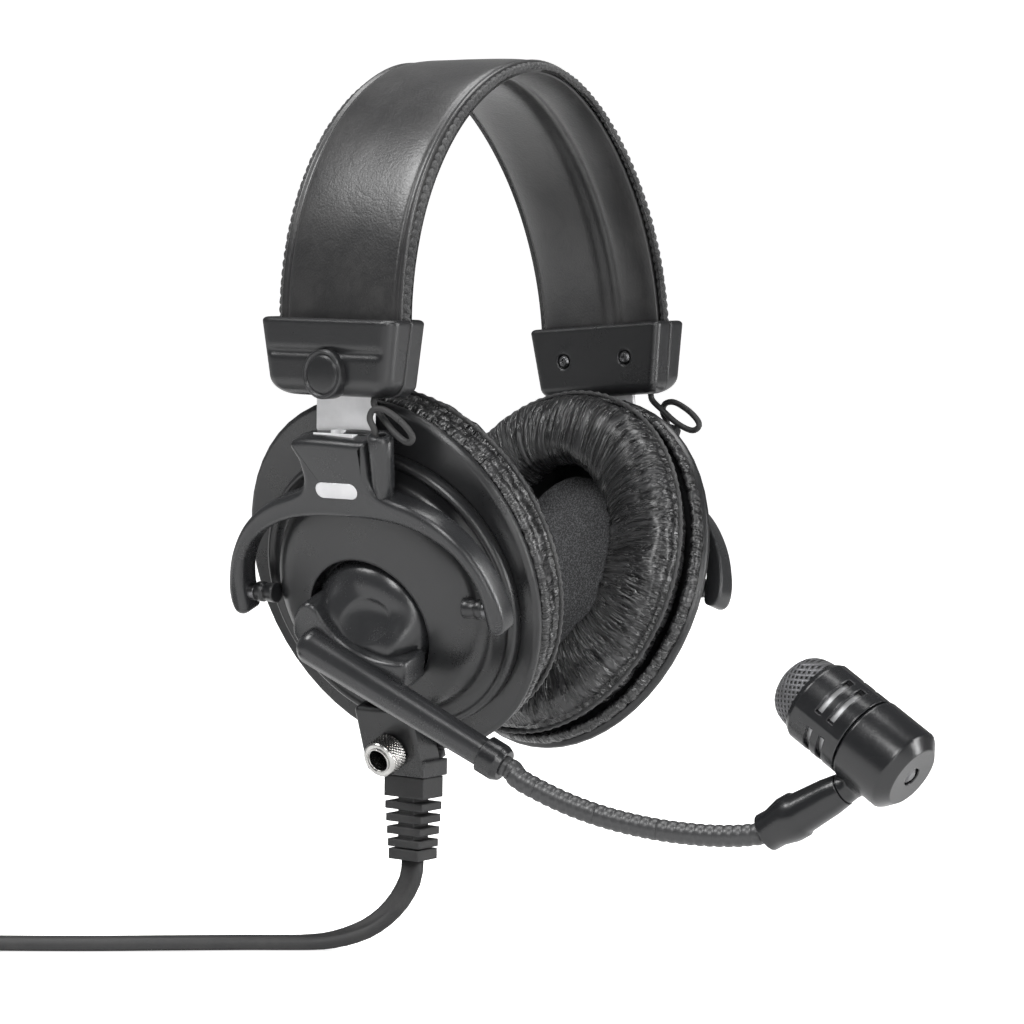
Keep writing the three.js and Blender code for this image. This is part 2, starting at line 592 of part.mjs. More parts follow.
const sleeveLength = distance(SLEEVE.from, SLEEVE.to);
const sleeveProfile = [[0, 0.8], [4.4, 0.8], [5, 0.4], [5, 3.4], [SLEEVE.radius, 7.4], [SLEEVE.radius, 10.6],
  [5.4, 11.4], [4.8, sleeveLength - 4], [4.2, sleeveLength], [0, sleeveLength]];
piece(headset, 'mic_sleeve', turnedBetween(sleeveProfile, SLEEVE.from, SLEEVE.to), FINISH.plastic);

/** A profile turned about the microphone's axis, measured from its back. */
const micTurned = (profile, segments = 32) => turnedBetween(profile, MIC.back, MIC.front, segments);
const R = MIC.radius;
const rearBody = micTurned([[0, 0.2], [R - 3.2, 0], [R - 0.6, 2.2], [R, 3], [R, 15.6], [R - 0.5, 16.2],
  [0, 16.2]]);
const elbow = turnedBetween([[0, 0], [4, 0], [3.7, 2], [4, 9], [0, 9]],
  new THREE.Vector3(...SLEEVE.to).lerp(new THREE.Vector3(...SLEEVE.from), -GAP / sleeveLength).toArray(),
  [-25.6, -140.2, -108.5]);
const screwSeat = micTurned([[0, -1], [2.6, -1], [2.6, 1.5], [0, 1.5]], 14);
piece(headset, 'mic_rear_body', cut(join(rearBody, elbow), screwSeat), FINISH.plastic);
piece(headset, 'mic_end_screw',
  micTurned([[0, 0.2], [1.2, 0.2], [2.2, 0.7], [2.2, 1.2], [0, 1.2]], 12), FINISH.black);
const slotRing = micTurned([[R - 1.6, 16.6], [R - 0.2, 16.6], [R - 0.2, 31.6], [R - 1, 33], [R - 1.6, 33],
  [R - 1.6, 16.6]], 24);
const slotTools = [];
for (const from of [20.4, 24.4]) {
  for (let k = 0; k < 4; k += 1) {
    const axis = new THREE.Vector3(...MIC.front).sub(new THREE.Vector3(...MIC.back));
    const turn = rad(45 + 90 * k);
    const slot = boxBetween([R - 3, -6, from], [R + 3, 6, from + 1.9]).rotateZ(turn);
    slotTools.push(slot.applyQuaternion(aim(axis)).translate(...MIC.back));
  }
}
piece(headset, 'mic_slot_ring', cut(slotRing, ...slotTools), FINISH.plastic);
piece(headset, 'mic_inner_sleeve', micTurned([[7.6, 16.9], [R - 1.9, 16.9], [R - 1.9, 31.8], [7.6, 31.8],
  [7.6, 16.9]], 28), FINISH.bright);
piece(headset, 'mic_capsule', micTurned([[0, 17.2], [7.2, 17.2], [7.2, 30.4], [0, 30.4]], 24), FINISH.black);
piece(headset, 'mic_grille', micTurned([[0, 32.1], [9.2, 32.1], [9.2, 33.4], [8.9, 36.6], [7.4, 39.2],
  [4.2, 40.9], [0, 41.4]], 28), FINISH.foam);

// --------------------------------------------------- cable block and jack

const [blockU, blockY, blockW] = [CABLE_BLOCK.u, CABLE_BLOCK.y, CABLE_BLOCK.w];
const blockBody = alongX(slab(roundedRectangle((blockY[1] - blockY[0]) / 2, (blockW[1] - blockW[0]) / 2, 1.4,
  (blockY[1] + blockY[0]) / 2, (blockW[1] + blockW[0]) / 2), blockU[0], blockU[1], 0.8, 1, 3));
const underFlange = boxBetween([-3.6, blockY[0] + 1.5, blockW[0]], [blockU[0] + 2, blockY[1] - 1.5, -50.7]);
const [outX, outY, outZ] = CABLE_BLOCK.outlet;
const outletBoss = boxBetween([outX - RELIEF.depthHalf - 0.8, outY - RELIEF.topHalf - 0.8, outZ],
  [outX + RELIEF.depthHalf + 0.8, outY + RELIEF.topHalf + 0.8, outZ + 4.4])
  .applyMatrix4(nearArm.cup.matrix.clone().invert());
const jackSeat = rodX(JACK.radius - 0.9, blockU[1] - 6, blockU[1] + 2, 20).translate(0, JACK.y, JACK.z);
piece(nearArm.cup, 'cable_block', cut(join(blockBody, underFlange, outletBoss), jackSeat), FINISH.plastic);
piece(nearArm.cup, 'jack_barrel', turnedX([[JACK.hole, blockU[1] - 5.6], [JACK.radius - 1.2, blockU[1] - 5.6],
  [JACK.radius - 1.2, blockU[1] + 6.8], [JACK.hole, blockU[1] + 6.8], [JACK.hole, blockU[1] - 5.6]], 20)
  .translate(0, JACK.y, JACK.z), FINISH.steel);
piece(nearArm.cup, 'jack_nut', turnedX([[JACK.radius - 0.9, blockU[1] + GAP], [JACK.radius, blockU[1] + GAP],
  [JACK.radius, blockU[1] + 5.8], [JACK.radius - 0.5, blockU[1] + JACK.length], [JACK.radius - 0.9,
    blockU[1] + JACK.length], [JACK.radius - 0.9, blockU[1] + GAP]], 24)
  .translate(0, JACK.y, JACK.z), FINISH.steel);

/** Tapered strain relief: a spine with flat ribs and a cord passage. */
function strainRelief() {
  const { length, topHalf, bottomHalf, depthHalf, ribs } = RELIEF;
  const top = outZ - GAP;
  const head = boxBetween([-depthHalf, -topHalf, top - 5.6], [depthHalf, topHalf, top]);
  const spine = boxBetween([-depthHalf + 1, -2.6, top - length], [depthHalf - 1, 2.6, top - 1]);
  const pitch = (length - 5.6) / ribs;
  const plates = [];
  for (let k = 1; k <= ribs; k += 1) {
    const half = topHalf + (bottomHalf - topHalf) * (k / ribs);
    const low = top - 5.6 - pitch * k;
    const grown = k === ribs ? 0.8 : 0;
    plates.push(boxBetween([-depthHalf, -half, low], [depthHalf, half, low + pitch * 0.6 + grown]));
  }
  return join(head, spine, ...plates).translate(outX, outY, 0);
}
piece(nearArm.group, 'strain_relief', strainRelief(), FINISH.rubber);

// ------------------------------------------------------- wires and cord

nearArm.group.updateMatrix();
for (const [side, group] of [['near', nearArm.group], ['far', farArm.group]]) {
  const front = side === 'near' ? 1 : -1;
  const places = LINK_WIRE.map(([x, y, z]) => [x, front * y, z]);
  piece(group, `link_wire_${side}`, tube(places, LINK_WIRE_RADIUS, 16, 8), FINISH.rubber);
}

piece(headset, 'cord', tube(CORD_ROUTE, CORD.width / 2 - 1, 16, 8), FINISH.rubber);
const coilHalf = COIL.across * CORD.width / 2;
const coilLow = FLOOR + TIE.thickness + GAP;
const coilTop = coilLow + COIL.layers * COIL.layerHeight;
const [coilInside, coilOutside] = [COIL.middle - coilHalf, COIL.middle + coilHalf];
piece(headset, 'cord_coil', turned([[coilInside, coilLow], [coilOutside, coilLow], [coilOutside, coilTop],
  [coilInside, coilTop], [coilInside, coilLow]], 32).translate(...COIL.centre, 0), FINISH.rubber);
const tieHole = [coilHalf + 0.9, (coilTop - coilLow) / 2 + GAP];
const tieOutline = roundedRectangle(tieHole[0] + TIE.thickness, tieHole[1] + TIE.thickness, 1.5);
tieOutline.holes.push(roundedRectangle(...tieHole, 0.8));
const tie = slab(tieOutline, -TIE.width / 2, TIE.width / 2, 0, 1, 3).rotateX(Math.PI / 2)
  .translate(COIL.middle, 0, (coilLow + coilTop) / 2).rotateZ(rad(TIE.place));
piece(headset, 'coil_tie', tie.translate(...COIL.centre, 0), FINISH.rubber);

const plugLength = distance(PLUG.from, PLUG.to);
const plugTurned = (profile, segments = 20) => turnedBetween(profile, PLUG.from, PLUG.to, segments);
piece(headset, 'plug_boot', plugTurned([[0, 0], [3.4, 0], [4.6, PLUG.boot * 0.6], [PLUG.neck, PLUG.boot],
  [0, PLUG.boot]], 16), FINISH.rubber);
const shellFoot = PLUG.boot + GAP;
const plugBore = PLUG.radius - PLUG.wall;
piece(headset, 'plug_shell', plugTurned([[PLUG.neck, shellFoot], [8.2, shellFoot], [PLUG.radius, shellFoot + 6],
  [PLUG.radius, plugLength], [plugBore, plugLength], [plugBore, shellFoot + 7],
  [PLUG.neck, shellFoot + 1.6], [PLUG.neck, shellFoot]]), FINISH.steel);
const insertFace = plugLength + 0.2;
piece(headset, 'plug_insert', plugTurned([[0, shellFoot + 8], [plugBore - GAP, shellFoot + 8],
  [plugBore - GAP, insertFace], [0, insertFace]]), FINISH.black);

export default headset;
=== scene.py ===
"""A single-boom broadcast headset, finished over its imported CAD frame.

Every new piece is laid out in millimetres in the CAD's own frames (the headset,
one side, or one ear cup) and then carried into the shared frame in metres.
"""

import json
import logging
import math
from dataclasses import dataclass
from enum import Enum
from typing import Callable, Sequence

import bmesh
import bpy
import numpy as np
from mathutils import Matrix, Vector, noise


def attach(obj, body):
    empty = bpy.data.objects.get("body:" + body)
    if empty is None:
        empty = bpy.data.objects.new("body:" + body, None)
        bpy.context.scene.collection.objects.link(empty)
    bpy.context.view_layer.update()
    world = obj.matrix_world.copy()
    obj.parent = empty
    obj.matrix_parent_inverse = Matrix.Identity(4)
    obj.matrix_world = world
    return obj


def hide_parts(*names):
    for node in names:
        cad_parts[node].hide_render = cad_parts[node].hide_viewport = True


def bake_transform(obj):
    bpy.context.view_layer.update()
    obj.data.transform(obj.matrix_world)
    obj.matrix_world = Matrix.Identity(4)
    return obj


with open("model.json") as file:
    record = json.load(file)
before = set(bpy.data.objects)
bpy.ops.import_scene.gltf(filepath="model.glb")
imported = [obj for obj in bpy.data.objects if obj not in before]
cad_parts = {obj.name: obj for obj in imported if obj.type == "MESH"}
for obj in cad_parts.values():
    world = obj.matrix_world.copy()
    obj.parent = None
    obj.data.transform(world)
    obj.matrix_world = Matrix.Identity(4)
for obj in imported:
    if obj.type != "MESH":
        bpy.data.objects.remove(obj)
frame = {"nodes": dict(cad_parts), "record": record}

logging.basicConfig(level=logging.INFO, format="%(message)s")
log = logging.getLogger("headset")

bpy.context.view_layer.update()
MM = 0.001
HEAD_REST = 61.3
FAR_DROP = 3.6
FAR_TURN = -5.0
CUP_TOE = 2
CUP_LEAN = 19.4
CUP_PLACE = (37.6, 0, -68.4)
WELD = 1e-4
SHELL_CREASE = math.radians(42)
YOKE_CREASE = math.radians(44)
BOOM_CREASE = math.radians(40)

Socket = bpy.types.NodeSocket
Place = Callable[[float, float], Vector]
Section = Callable[[float, float], tuple[float, float]]


class Side(Enum):
    """The two ends of the headband: NEAR carries the boom."""

    NEAR = "near"
    FAR = "far"


class Grain(Enum):
    """Which way a drawn or brushed grain runs."""

    X = (1.0, 12.0, 12.0)
    Y = (12.0, 1.0, 12.0)
    Z = (12.0, 12.0, 1.0)


# ---------------------------------------------------------------- frames


def headset_frame() -> Matrix:
    """The headset's millimetre frame, heights measured from the end blocks' top."""
    return Matrix.Scale(MM, 4) @ Matrix.Translation((0, 0, -HEAD_REST))


def side_frame(side: Side) -> Matrix:
    """One side's millimetre frame: X outward, Z up.

    Args:
        side: Which end of the headband.

    Returns:
        The frame as a matrix into metres.
    """
    if side is Side.NEAR:
        return headset_frame() @ Matrix.Rotation(math.pi, 4, "Z")
    sag = Matrix.Translation((0, 0, -FAR_DROP)) @ Matrix.Rotation(math.radians(FAR_TURN), 4, "X")
    return headset_frame() @ sag


def cup_frame(side: Side) -> Matrix:
    """One ear cup's millimetre frame: X out of the flange, Z up in its plane.

    Args:
        side: Which end's cup.

    Returns:
        The frame as a matrix into metres.
    """
    toe = math.radians(CUP_TOE if side is Side.NEAR else -CUP_TOE)
    turn = Matrix.Rotation(toe, 4, "Z") @ Matrix.Rotation(math.radians(CUP_LEAN), 4, "Y")
    return side_frame(side) @ Matrix.Translation(CUP_PLACE) @ turn


# ------------------------------------------------------------- materials


class Graph:
    """A material's node tree, with short calls for what the finishes share."""

    def __init__(self, name: str) -> None:
        """Starts a material with its Principled shader and Object coordinates."""
        self.material = bpy.data.materials.new(name)
        self.material.use_nodes = True
        self.tree = self.material.node_tree
        self.shader = self.tree.nodes["Principled BSDF"]
        self.place = self.node("ShaderNodeTexCoord").outputs["Object"]

    def node(self, kind: str, inputs: dict | None = None, **settings: object) -> bpy.types.Node:
        """Adds a node; inputs are numbers, colours or sockets by name or index.

        Args:
            kind: The node's type.
            inputs: What its sockets are fed.
            settings: Its own properties.

        Returns:
            The node.
        """
        made = self.tree.nodes.new(kind)
        for key, value in settings.items():
            setattr(made, key, value)
        for key, value in (inputs or {}).items():
            self.feed(made.inputs[key], value)
        return made

    def feed(self, socket: Socket, value: object) -> None:
        """Links a socket, or sets its own value.

        Args:
            socket: The socket to feed.
            value: Another socket, or a plain value.
        """
        if isinstance(value, Socket):
            self.tree.links.new(value, socket)
        else:
            socket.default_value = value

    def surface(self, **inputs: object) -> None:
        """Feeds the Principled shader; underscores stand for spaces."""
        for key, value in inputs.items():
            self.feed(self.shader.inputs[key.replace("_", " ")], value)

    def stretched(self, scale: Sequence[float], turn: Sequence[float] = (0, 0, 0)) -> Socket:
        """Object coordinates stretched by a scale, after a turn."""
        return self.node("ShaderNodeMapping", {"Vector": self.place, "Rotation": turn,
                                               "Scale": scale}).outputs["Vector"]

    def noise(self, size: float, detail: float = 3, vector: object = None, rough: float = 0.5) -> Socket:
        """Noise whose features are about `size` metres.

        Args:
            size: Feature size in metres.
            detail: Octaves.
            vector: Coordinates, or Object coordinates.
            rough: Roughness of the octaves.

        Returns:
            Its factor.
        """
        inputs = {"Vector": vector or self.place, "Scale": 1 / size, "Detail": detail, "Roughness": rough}
        return self.node("ShaderNodeTexNoise", inputs).outputs["Fac"]

    def cells(self, size: float, vector: object = None, feature: str = "F1") -> Socket:
        """Voronoi distance with cells about `size` metres across."""
        return self.node("ShaderNodeTexVoronoi", {"Vector": vector or self.place, "Scale": 1 / size},
                         feature=feature).outputs["Distance"]

    def remap(self, value: object, low: float, high: float, start: float = 0.0, end: float = 1.0) -> Socket:
        """Maps start..end to low..high."""
        return self.node("ShaderNodeMapRange", {"Value": value, "From Min": start, "From Max": end,
                                                "To Min": low, "To Max": high}).outputs["Result"]

    def math(self, operation: str, first: object, second: object = 0.5) -> Socket:
        """One maths step."""
        return self.node("ShaderNodeMath", {0: first, 1: second}, operation=operation).outputs[0]

    def ridges(self, value: Socket, width: float) -> Socket:
        """Thin valleys where a noise crosses its middle: 0 in them, 1 on the ridges between.

        Args:
            value: The noise.
            width: Half the valleys' width, as a share of the noise.

        Returns:
            The factor.
        """
        away = self.math("ABSOLUTE", self.math("SUBTRACT", value, 0.5))
        return self.node("ShaderNodeMapRange", {"Value": away, "From Max": width},
                         interpolation_type="SMOOTHSTEP").outputs["Result"]

    def mix(self, factor: object, first: object, second: object) -> Socket:
        """A colour between two.

        Args:
            factor: Share of the second.
            first: Grey, colour or socket.
            second: Grey, colour or socket.

        Returns:
            The mixed colour.
        """
        made = self.node("ShaderNodeMix", data_type="RGBA")
        for index, value in ((0, factor), (6, rgba(first)), (7, rgba(second))):
            self.feed(made.inputs[index], value)
        return made.outputs[2]

    def bump(self, height: object, depth: float, strength: float = 1.0, over: object = None) -> Socket:
        """A bump whose full height is `depth` metres, over another normal.

        Args:
            height: Height from 0 to 1.
            depth: Full height in metres.
            strength: Share that shows.
            over: Another normal, if any.

        Returns:
            The normal.
        """
        inputs = {"Height": height, "Distance": depth, "Strength": strength}
        if over is not None:
            inputs["Normal"] = over
        return self.node("ShaderNodeBump", inputs).outputs["Normal"]

    def softened(self, radius: float) -> Socket:
        """The normal with hard edges rounded by a radius in metres."""
        return self.node("ShaderNodeBevel", {"Radius": radius}, samples=6).outputs["Normal"]

    def edges(self, soft: Socket) -> Socket:
        """1 where the softened normal leaves the true one, 0 on flat ground.

        Args:
            soft: The softened normal.

        Returns:
            The factor.
        """
        true = self.node("ShaderNodeNewGeometry").outputs["Normal"]
        match = self.node("ShaderNodeVectorMath", {0: soft, 1: true}, operation="DOT_PRODUCT")
        return self.remap(match.outputs["Value"], 1.0, 0.0, 0.74, 0.9)


def rgba(colour: object) -> object:
    """A grey level or an (r, g, b) as a colour; sockets pass through.

    Args:
        colour: The grey, colour or socket.

    Returns:
        A colour with alpha, or the socket.
    """
    if isinstance(colour, (int, float)):
        return (colour, colour, colour, 1.0)
    if isinstance(colour, tuple) and len(colour) == 3:
        return (*colour, 1.0)
    return colour


@dataclass(frozen=True)
class Leatherette:
    """Coated cloth with pebbled grain, creases and a soft gloss."""

    name: str
    base: tuple[float, float, float] = (0.008, 0.008, 0.0086)
    worn_and_lit: tuple[float, float, float] = (0.022, 0.0215, 0.0215)
    pebble: float = 0.0009
    depth: float = 0.00010
    crease: float = 0.004
    crease_depth: float = 0.0003
    gloss: tuple[float, float] = (0.28, 0.46)

    def material(self) -> bpy.types.Material:
        """Builds the node material."""
        g = Graph(self.name)
        blotch = g.noise(0.018, 4)
        pebbles = g.remap(g.cells(self.pebble, feature="SMOOTH_F1"), 0.0, 1.0, 0.15, 0.75)
        creases = g.math("ABSOLUTE", g.math("SUBTRACT", g.noise(self.crease, 4, rough=0.55), 0.5))
        valley = g.remap(creases, 0.0, 1.0, 0.0, 0.07)
        colour = g.mix(g.remap(blotch, 0.0, 1.0, 0.35, 0.7), self.base, self.worn_and_lit)
        g.surface(
            Base_Color=g.mix(g.remap(valley, 0.5, 0.0), colour, self.base),
            Roughness=g.remap(g.math("ADD", pebbles, blotch), *self.gloss, 0.3, 1.5),
            Normal=g.bump(valley, self.crease_depth, 0.7, g.bump(pebbles, self.depth, 0.8)),
            Sheen_Weight=0.12,
            Sheen_Roughness=0.45,
            Coat_Weight=0.12,
            Coat_Roughness=0.3,
        )
        return g.material


@dataclass(frozen=True)
class GatheredSkin:
    """Thin glossy leatherette gathered in fine folds that run along the fan attribute."""

    name: str
    base: tuple[float, float, float] = (0.006, 0.006, 0.0065)
    # Lighter colour: on the pad it is a painted highlight on the fold ridges, and the base colour left in
    # the fold valleys is painted shade.
    worn_and_lit: tuple[float, float, float] = (0.022, 0.022, 0.023)
    gloss: tuple[float, float] = (0.2, 0.38)

    def material(self) -> bpy.types.Material:
        """Builds the node material."""
        g = Graph(self.name)
        fan = g.node("ShaderNodeAttribute", attribute_name="fan").outputs["Vector"]
        folds = g.ridges(g.noise(0.0042, 3, fan, 0.5), 0.11)
        fine = g.ridges(g.noise(0.0019, 3, fan, 0.55), 0.13)
        blotch = g.noise(0.02, 3)
        pores = g.cells(0.0004)
        height = g.math("ADD", folds, g.math("MULTIPLY", fine, 0.45))
        # Base colour follows the fold height: painted highlight on the ridges, painted shade in the valleys.
        g.surface(
            Base_Color=g.mix(g.remap(height, 0.0, 1.0, 0.2, 1.3), self.base, self.worn_and_lit),
            Roughness=g.remap(g.math("ADD", fine, blotch), *self.gloss, 0.3, 1.4),
            Normal=g.bump(height, 0.0011, 0.85, g.bump(pores, 0.00003, 0.5)),
            Coat_Weight=0.25,
            Coat_Roughness=0.22,
        )
        return g.material


@dataclass(frozen=True)
class Moulded:
    """Moulded plastic or rubber: spark grain, handling smudges and edge wear."""

    name: str
    base: tuple[float, float, float] = (0.018, 0.0185, 0.02)
    edge: tuple[float, float, float] = (0.075, 0.076, 0.08)
    grain: float = 0.00035
    depth: float = 0.00003
    gloss: tuple[float, float] = (0.36, 0.5)
    round: float = 0.0009
    dust: float = 0.0
    dust_colour: tuple[float, float, float] = (0.2, 0.19, 0.18)
    fleck: float = 0.0

    def material(self) -> bpy.types.Material:
        """Builds the node material."""
        g = Graph(self.name)
        smudge = g.noise(0.012, 5, rough=0.6)
        grain = g.noise(self.grain, 2)
        speck = g.cells(self.grain * 1.7)
        soft = g.softened(self.round)
        scuff = g.math("MULTIPLY", g.edges(soft), g.remap(g.noise(0.003, 4), 0.1, 1.0, 0.35, 0.65))
        dust = g.math("MULTIPLY", g.remap(smudge, 0.0, 1.0, 0.45, 0.75), self.dust)
        dusty = g.mix(dust, self.base, self.dust_colour)
        flecks = g.math("MULTIPLY", g.remap(grain, 0.0, 1.0, 0.45, 0.65), self.fleck)
        g.surface(
            Base_Color=g.mix(g.math("MAXIMUM", scuff, flecks), dusty, self.edge),
            Roughness=g.remap(g.math("ADD", smudge, g.math("MULTIPLY", grain, 0.4)), *self.gloss, 0.35, 1.0),
            Normal=g.bump(grain, self.depth, 0.6, g.bump(speck, self.depth * 0.7, 0.4, soft)),
        )
        return g.material


@dataclass(frozen=True)
class Metal:
    """Bare or plated metal with a drawn grain, fine scratches and fingerprints."""

    name: str
    base: tuple[float, float, float] = (0.62, 0.62, 0.63)
    tarnish: tuple[float, float, float] = (0.4, 0.4, 0.41)
    grain: Grain = Grain.Z
    gloss: tuple[float, float] = (0.22, 0.4)
    depth: float = 0.00001
    metallic: float = 1.0

    def material(self) -> bpy.types.Material:
        """Builds the node material."""
        g = Graph(self.name)
        drawn = g.noise(0.004, 6, g.stretched(self.grain.value), 0.7)
        print_marks = g.noise(0.007, 4)
        pits = g.cells(0.0007)
        g.surface(
            Base_Color=g.mix(g.remap(print_marks, 0.0, 0.8, 0.4, 0.7), self.base, self.tarnish),
            Roughness=g.remap(g.math("ADD", drawn, print_marks), *self.gloss, 0.6, 1.4),
            Normal=g.bump(drawn, self.depth, 0.6, g.bump(pits, self.depth * 0.5, 0.3, g.softened(0.0003))),
            Metallic=self.metallic,
            Anisotropic=0.35,
        )
        return g.material


@dataclass(frozen=True)
class Weave:
    """Two sets of threads or wires crossing, seen along one cup's or tube's axis."""

    name: str
    pitch: float = 0.0011
    thread: tuple[float, float, float] = (0.05, 0.05, 0.052)
    gap: tuple[float, float, float] = (0.004, 0.004, 0.004)
    turn: tuple[float, float, float] = (0.0, 0.0, 0.0)
    depth: float = 0.0003
    metallic: float = 0.0
    roughness: tuple[float, float] = (0.6, 0.9)

    def material(self) -> bpy.types.Material:
        """Builds the node material."""
        g = Graph(self.name)
        turned = g.stretched((1, 1, 1), self.turn)
        waves = []
        for axis in ("Y", "Z"):
            inputs = {"Vector": turned, "Scale": 0.314 / self.pitch, "Distortion": 0.4, "Detail": 1.0}
            waves.append(g.node("ShaderNodeTexWave", inputs, bands_direction=axis).outputs["Fac"])
        over = g.math("MAXIMUM", waves[0], waves[1])
        blotch = g.noise(0.006, 4)
        fibre = g.noise(0.0003, 2)
        body = g.mix(blotch, self.thread, tuple(c * 0.6 for c in self.thread))
        g.surface(
            Base_Color=g.mix(g.remap(over, 0.0, 1.0, 0.35, 0.7), self.gap, body),
            Roughness=g.remap(g.math("ADD", fibre, blotch), *self.roughness, 0.6, 1.4),
            Normal=g.bump(over, self.depth, 0.9, g.bump(fibre, 0.00003, 0.4)),
            Metallic=self.metallic,
            Sheen_Weight=0.1,
        )
        return g.material


@dataclass(frozen=True)
class Ground:
    """Matt white studio floor with the faintest mottling."""

    name: str = "studio_floor"
    lift: float = 0.85

    def material(self) -> bpy.types.Material:
        """Builds the node material."""
        g = Graph(self.name)
        cloud = g.noise(0.4, 3)
        seen = g.node("ShaderNodeLightPath").outputs["Is Camera Ray"]
        g.surface(
            Base_Color=g.mix(cloud, 0.84, 0.88),
            Roughness=g.remap(g.noise(0.02), 0.6, 0.7),
            Normal=g.bump(g.noise(0.002), 0.00005, 0.2),
            Emission_Strength=g.math("MULTIPLY", seen, self.lift),
            Emission_Color=(1.0, 1.0, 1.0, 1.0),
        )
        return g.material


LEATHER = Leatherette("band_leather", pebble=0.00055, depth=0.00003, crease=0.011, crease_depth=0.00003,
                      gloss=(0.3, 0.4))
LINING = Leatherette("band_lining", base=(0.009, 0.009, 0.0096), pebble=0.0005, depth=0.00003,
                     crease=0.014, crease_depth=0.00003, gloss=(0.3, 0.42))
PAD_SKIN = GatheredSkin("pad_leather")
BRAID = Leatherette("braid_thread", base=(0.01, 0.01, 0.011), worn_and_lit=(0.05, 0.05, 0.05), pebble=0.00035,
                    depth=0.00012, crease=0.0012, crease_depth=0.00015, gloss=(0.5, 0.75))
PLASTIC = Moulded("shell_plastic", base=(0.011, 0.0112, 0.012), gloss=(0.24, 0.34), round=0.0011)
SATIN = Moulded("yoke_plastic", base=(0.016, 0.0164, 0.0175), edge=(0.08, 0.082, 0.086), grain=0.0005,
                depth=0.00002, gloss=(0.2, 0.3), round=0.0014)
RUBBER = Moulded("rubber_black", base=(0.012, 0.012, 0.0125), edge=(0.04, 0.04, 0.042), grain=0.0005,
                 depth=0.00005, gloss=(0.5, 0.7), dust=0.08)
MIC_COAT = Moulded("mic_metal", base=(0.008, 0.0083, 0.0092), edge=(0.07, 0.07, 0.075), grain=0.0006,
                   depth=0.00003, gloss=(0.18, 0.3), round=0.0006)
STEEL = Metal("steel_plate", base=(0.78, 0.78, 0.79), tarnish=(0.66, 0.66, 0.67), gloss=(0.35, 0.5),
              metallic=0.6)
SPRING = Metal("spring_steel", base=(0.36, 0.37, 0.38), tarnish=(0.2, 0.2, 0.21), grain=Grain.X)
BLACK_METAL = Metal("black_screw", base=(0.16, 0.16, 0.165), tarnish=(0.07, 0.07, 0.072),
                    gloss=(0.25, 0.42))
NECK_COAT = Moulded("gooseneck_black", base=(0.03, 0.0303, 0.0315), edge=(0.06, 0.06, 0.063),
                    grain=0.0004, depth=0.00001, gloss=(0.32, 0.42), round=0.0002)
SILVER = Metal("silver_inlay", base=(0.56, 0.56, 0.57), tarnish=(0.48, 0.48, 0.49), grain=Grain.Y,
               gloss=(0.3, 0.45), metallic=0.55)
NICKEL = Metal("nickel", base=(0.5, 0.495, 0.48), tarnish=(0.34, 0.335, 0.325), gloss=(0.15, 0.32))
FOAM = Moulded("foam_grey", base=(0.016, 0.0163, 0.0172), edge=(0.12, 0.121, 0.127), grain=0.0004,
               depth=0.0003, gloss=(0.8, 0.95), round=0.0003, fleck=0.6)
GRILLE = Weave("grille_wire", pitch=0.0012, thread=(0.13, 0.13, 0.137), gap=(0.002, 0.002, 0.002),
               depth=0.0005, metallic=0.8, roughness=(0.35, 0.55))

Finish = Leatherette | GatheredSkin | Moulded | Metal | Weave | Ground


class Wardrobe:
    """Makes each finish's material once."""

    def __init__(self) -> None:
        """Starts with nothing made."""
        self.made: dict[str, bpy.types.Material] = {}

    def of(self, finish: Finish) -> bpy.types.Material:
        """The material of a finish.

        Args:
            finish: The finish asked for.

        Returns:
            Its one material.
        """
        if finish.name not in self.made:
            self.made[finish.name] = finish.material()
        return self.made[finish.name]


WARDROBE = Wardrobe()


# ------------------------------------------------------------ mesh helpers


def grid(along: int, across: int, place: Place) -> bmesh.types.BMesh:
    """A sheet of quads whose corners lie at place(u, v), u and v from 0 to 1.

    Args:
        along: Quads along u.
        across: Quads along v.
        place: Gives the place of (u, v).

    Returns:
        The sheet.
    """
    bm = bmesh.new()
    bmesh.ops.create_grid(bm, x_segments=along, y_segments=across, size=1.0)
    for vert in bm.verts:
        vert.co = place((vert.co.x + 1) / 2, (vert.co.y + 1) / 2)
    return bm


def seal(bm: bmesh.types.BMesh, reach: float) -> bmesh.types.BMesh:
    """Merges the seams of a wrapped sheet and caps its open ends.

    Args:
        bm: The wrapped sheet.
        reach: How far apart doubles may be.

    Returns:
        The same bmesh, closed.
    """
    bmesh.ops.remove_doubles(bm, verts=bm.verts, dist=reach)
    rims = [edge for edge in bm.edges if edge.is_boundary]
    if rims:
        bmesh.ops.holes_fill(bm, edges=rims)
    return bm


def lay(name: str, bm: bmesh.types.BMesh, finish: Finish,
        matrix: Matrix | None = None) -> bpy.types.Object:
    """Makes an object at the origin from a bmesh laid out in a millimetre frame.

    Args:
        name: The piece's name.
        bm: Its mesh, which is freed.
        finish: Its finish.
        matrix: The millimetre frame, or none for metres.

    Returns:
        The object.
    """
    if matrix is not None:
        bmesh.ops.transform(bm, matrix=matrix, verts=bm.verts)
    bmesh.ops.recalc_face_normals(bm, faces=bm.faces)
    mesh = bpy.data.meshes.new(name)
    bm.to_mesh(mesh)
    bm.free()
    mesh.materials.append(WARDROBE.of(finish))
    obj = bpy.data.objects.new(name, mesh)
    bpy.context.scene.collection.objects.link(obj)
    mesh.shade_smooth()
    log.info("piece %s: %d faces", name, len(mesh.polygons))
    return obj


def aimed(start: Sequence[float], end: Sequence[float]) -> Matrix:
    """The frame whose Z runs from start towards end, at start.

    Args:
        start: The origin.
        end: A place along Z.

    Returns:
        The frame.
    """
    direction = (Vector(end) - Vector(start)).normalized()
    return Matrix.Translation(Vector(start)) @ direction.to_track_quat("Z", "Y").to_matrix().to_4x4()


